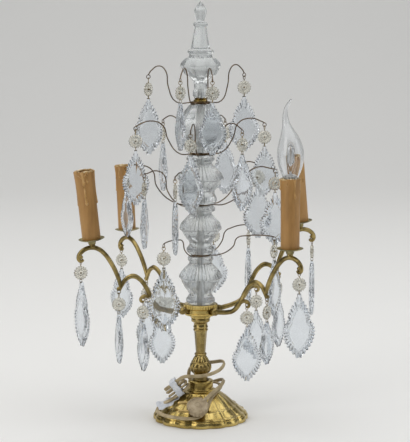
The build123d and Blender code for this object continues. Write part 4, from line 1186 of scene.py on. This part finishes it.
def flex_points():
    """The route: bush, right of the drum, rim, hank, round the neck, and down to the plug."""
    bush = (9.5, 16.45, 45.0)
    rim = [
        (13.75, 23.8, 45), (22.0, 24.4, 44.0), (27.0, 17.6, 42.8), (28, 6.5, 42.6), (25.5, -7, 42.3),
        (20, -20, 40.0), (14, -31.5, 35.2), (9.8, -42.5, 27.7), (7, -51, 21.7), (0, -59.0, 16.2),
        (-12, -61.5, 14.2), (-26, -58.2, 13.8), (-40, -50, 13.8), (-53, -38.5, 14.0), (-60.3, -28, 17.0),
        (-54.5, -22.3, 24.3),
    ]
    neck = [
        (-12, -23.8, 63.8), (1, -23.6, 63.9), (14.5, -20.0, 66), (27.5, -12.0, 70.5), (33.5, 1, 76.5),
        (29.5, 15.5, 77), (18.5, 24.5, 73), (5.5, 27, 71.5), (-7.3, 28, 70.3), (-16.5, 29, 61.3),
        (-16.5, 30, 48.3), (-7, 32, 39.3), (6, 35.5, 39.0), (18.5, 36, 42.7), (28, 28.5, 47.5),
        (32, 15, 50.3), (31.2, 1, 50.3), (28, -12, 48.5), (21.5, -24, 45.5),
    ]
    hank = []
    runs, pitch, turn, half = 7, 5.3, 7.0, 7.0
    for n in range(runs):
        middle = HANK_CENTRE + HANK_OUT * (pitch / 2 * ((runs - 1) / 2 - n)) + HANK_SIDE * (turn if n % 2 == 0 else -turn)
        way = 1 if n % 2 == 0 else -1
        start, end = middle - HANK_ALONG * half * way, middle + HANK_ALONG * half * way
        bend = HANK_ALONG * way * turn
        step = HANK_OUT * (-pitch / 2)
        across = HANK_SIDE * (-2 * turn if n % 2 == 0 else 2 * turn)
        hank += [start, middle, end]
        if n + 1 < runs:
            hank += [
                end + bend * 0.6 + across * 0.02, end + bend * 1.05 + across * 0.22 + step * 0.3,
                end + bend * 1.05 + across * 0.78 + step * 0.7, end + bend * 0.6 + across * 0.98 + step,
            ]
    low_end, high_end = hank[-1], hank[0]
    lead = plug_place()
    angle = math.radians(PLUG_LEAD)
    entry = lead @ Vector((17.0 * math.cos(angle), 17.0 * math.sin(angle), 0)).__mul__(MM) / MM
    onward = lead @ Vector((26.0 * math.cos(angle), 26.0 * math.sin(angle), 0)).__mul__(MM) / MM
    first = [Vector(bush)] + [Vector(p) for p in rim] + [low_end + HANK_ALONG * 10.5]
    second = [high_end - HANK_ALONG * 10.5] + [Vector(p) for p in neck] + [onward, entry]
    return first + list(reversed(hank)) + second


def flex_line():
    """The smooth line of the flex, as points read from its spline."""
    line = bpy.data.curves.new("flex line", "CURVE")
    line.dimensions = "3D"
    line.resolution_u = 8
    points = flex_points()
    run = line.splines.new("NURBS")
    run.points.add(len(points) - 1)
    for knot, point in zip(run.points, points):
        knot.co = (*(point * MM), 1)
    run.order_u = 3
    run.use_endpoint_u = True
    holder = bpy.data.objects.new("flex line", line)
    bpy.context.collection.objects.link(holder)
    bpy.context.view_layer.update()
    drawn = bpy.data.meshes.new_from_object(holder.evaluated_get(bpy.context.evaluated_depsgraph_get()))
    path = [v.co.copy() for v in drawn.vertices]
    bpy.data.meshes.remove(drawn)
    bpy.data.objects.remove(holder, do_unlink=True)
    spaced = [path[0]]
    for point in path[1:]:
        if (point - spaced[-1]).length > 0.0007:
            spaced.append(point)
    return spaced


def twin_section():
    """Section of the flat twin flex: two round cores side by side."""
    half, offset = 1.42, 1.12
    points = []
    for n in range(9):
        a = math.radians(-125 + 250 * n / 8)
        points.append((offset + half * math.cos(a), half * math.sin(a)))
    return points + [(-x, -y) for x, y in points]


def make_flex():
    """Twin flex swept along its line, with its plug and tie."""
    path = flex_line()
    section = twin_section()
    clear_bench()
    sheath = bpy.data.meshes.new("flex")
    shell = bmesh.new()
    normal = Vector((0, 0, 1))
    rings = []
    for n, point in enumerate(path):
        ahead = path[min(n + 1, len(path) - 1)] - path[max(n - 1, 0)]
        tangent = ahead.normalized()
        normal = (normal - tangent * normal.dot(tangent)).normalized()
        side = tangent.cross(normal)
        rings.append([shell.verts.new(point + (side * x + normal * y) * MM) for x, y in section])
    for low, high in zip(rings, rings[1:]):
        for k in range(len(section)):
            shell.faces.new((low[k], low[(k + 1) % len(section)], high[(k + 1) % len(section)], high[k]))
    shell.faces.new(list(reversed(rings[0])))
    shell.faces.new(rings[-1])
    bmesh.ops.recalc_face_normals(shell, faces=shell.faces)
    shell.to_mesh(sheath)
    shell.free()
    flex = bpy.data.objects.new("twin_flex", sheath)
    bpy.context.collection.objects.link(flex)
    smooth(flex, 50)
    wear(flex, flex_sheath)
    length = sum((b - a).length for a, b in zip(path, path[1:]))
    plug = make_plug()
    tie = make_tie()
    done(flex, "stand", "cord", "cord_run", "cord_hank")
    return length


def plug_edge(angle):
    """Grip ribs round the plug."""
    return 1 - 0.08 * (1 - abs(math.sin(9 * angle)) ** 0.6)


def make_plug():
    """Round flat plug with a ribbed grip, stepped faces, lead collar and two pins."""
    disc = tower(
        "disc", 144,
        [
            (-4.5, 5, plain), (-4.5, 11.6, plain), (-4.2, 13.4), (-3.4, 14.7), (-1.0, 15.0), (1.0, 15.0),
            (3.4, 14.7), (4.2, 13.6), (4.6, 12.2), (4.2, 11.4, plain), (4.0, 10.2, plain), (4.5, 9.4, plain),
            (4.9, 8.6, plain), (4.9, 4.6, plain), (4.3, 4.2, plain), (4.1, 3.6, plain), (4.1, 2.8, plain),
            (4.7, 2.5, plain), (4.8, 0.8, plain),
        ],
        plug_edge,
    )
    smooth(disc, 30)
    collar = tower("lead collar", 32, [(13.6, 3.3), (14.2, 3.1), (15.4, 2.8), (16.2, 2.9), (17, 2.7), (17, 1)])
    put(collar, turned_by(PLUG_LEAD, "Z") @ turned_by(90, "Y"))
    smooth(collar, 40)
    shell = joined("plug_shell", [disc, collar])
    put(shell, plug_place())
    wear(shell, plug_plastic)
    done(shell, "stand", "plug_plastic", "plug")
    pins = []
    for side in (-1, 1):
        pin = tower("pin", 24, [(11, 2.0), (25, 2.0), (26.2, 1.7), (27, 1.0), (27, 0.4)])
        put(pin, set_at(0, side * 7.5, 0) @ turned_by(-90, "Y"))
        smooth(pin, 40)
        pins.append(pin)
    prongs = joined("plug_pins", pins)
    put(prongs, plug_place())
    done(wear(prongs, pin_brass), "stand", "plug_plastic")
    return shell


def make_tie():
    """Crumpled paper band round the hank with its loose tail."""
    source = frame["nodes"]["cord_tie"]
    band = twin(source, "paper_tie")
    band.parent = None
    band.matrix_world = Matrix.Identity(4)
    band.hide_render = False
    tidy_faces(band)
    bpy.ops.object.mode_set(mode="EDIT")
    bpy.ops.mesh.select_all(action="SELECT")
    bpy.ops.mesh.tris_convert_to_quads()
    bpy.ops.mesh.subdivide(number_cuts=9)
    bpy.ops.object.mode_set(mode="OBJECT")
    for corner in band.data.vertices:
        p = corner.co / MM
        d = p - HANK_CENTRE
        down, side, out = d.dot(HANK_ALONG), d.dot(HANK_SIDE), d.dot(HANK_OUT)
        if out < -9.4 and down > 4.6:
            longer = 4.5 + (down - 4.5) * 1.17
            wider = (side - 3.8) * 0.95 - 0.4
            twist = math.radians(min(56, 3.4 * (longer - 4.5)))
            lift = 0.0085 * (longer - 4.5) ** 2 + 1.1 * math.sin(0.5 * longer + 0.3 * wider)
            near = 0.46 * (longer - 4.5) + wider * math.cos(twist)
            p = HANK_CENTRE + HANK_ALONG * longer + HANK_SIDE * near + HANK_OUT * (out + lift - wider * math.sin(twist))
            corner.co = p * MM
        sway = Vector((
            math.sin(0.9 * p.z + 0.4 * p.y) + 0.6 * math.sin(2.3 * p.x + 1.1 * p.z),
            0.6 * math.sin(1.3 * p.z + 0.8 * p.x),
            0.5 * math.sin(1.1 * p.x + 0.9 * p.y),
        ))
        corner.co += sway * 0.5 * MM
    smooth(band, 40)
    wear(band, tie_paper)
    done(band, "stand", "paper", "cord_tie")
    return band


camera_and_light()
flex_length = make_flex()
make_foot()
make_shaft()
make_hub()
make_column()
make_sprays()
make_arms_and_candles()
make_drops()
dress_rod()

scene = bpy.context.scene
scene.view_settings.view_transform = "Standard"
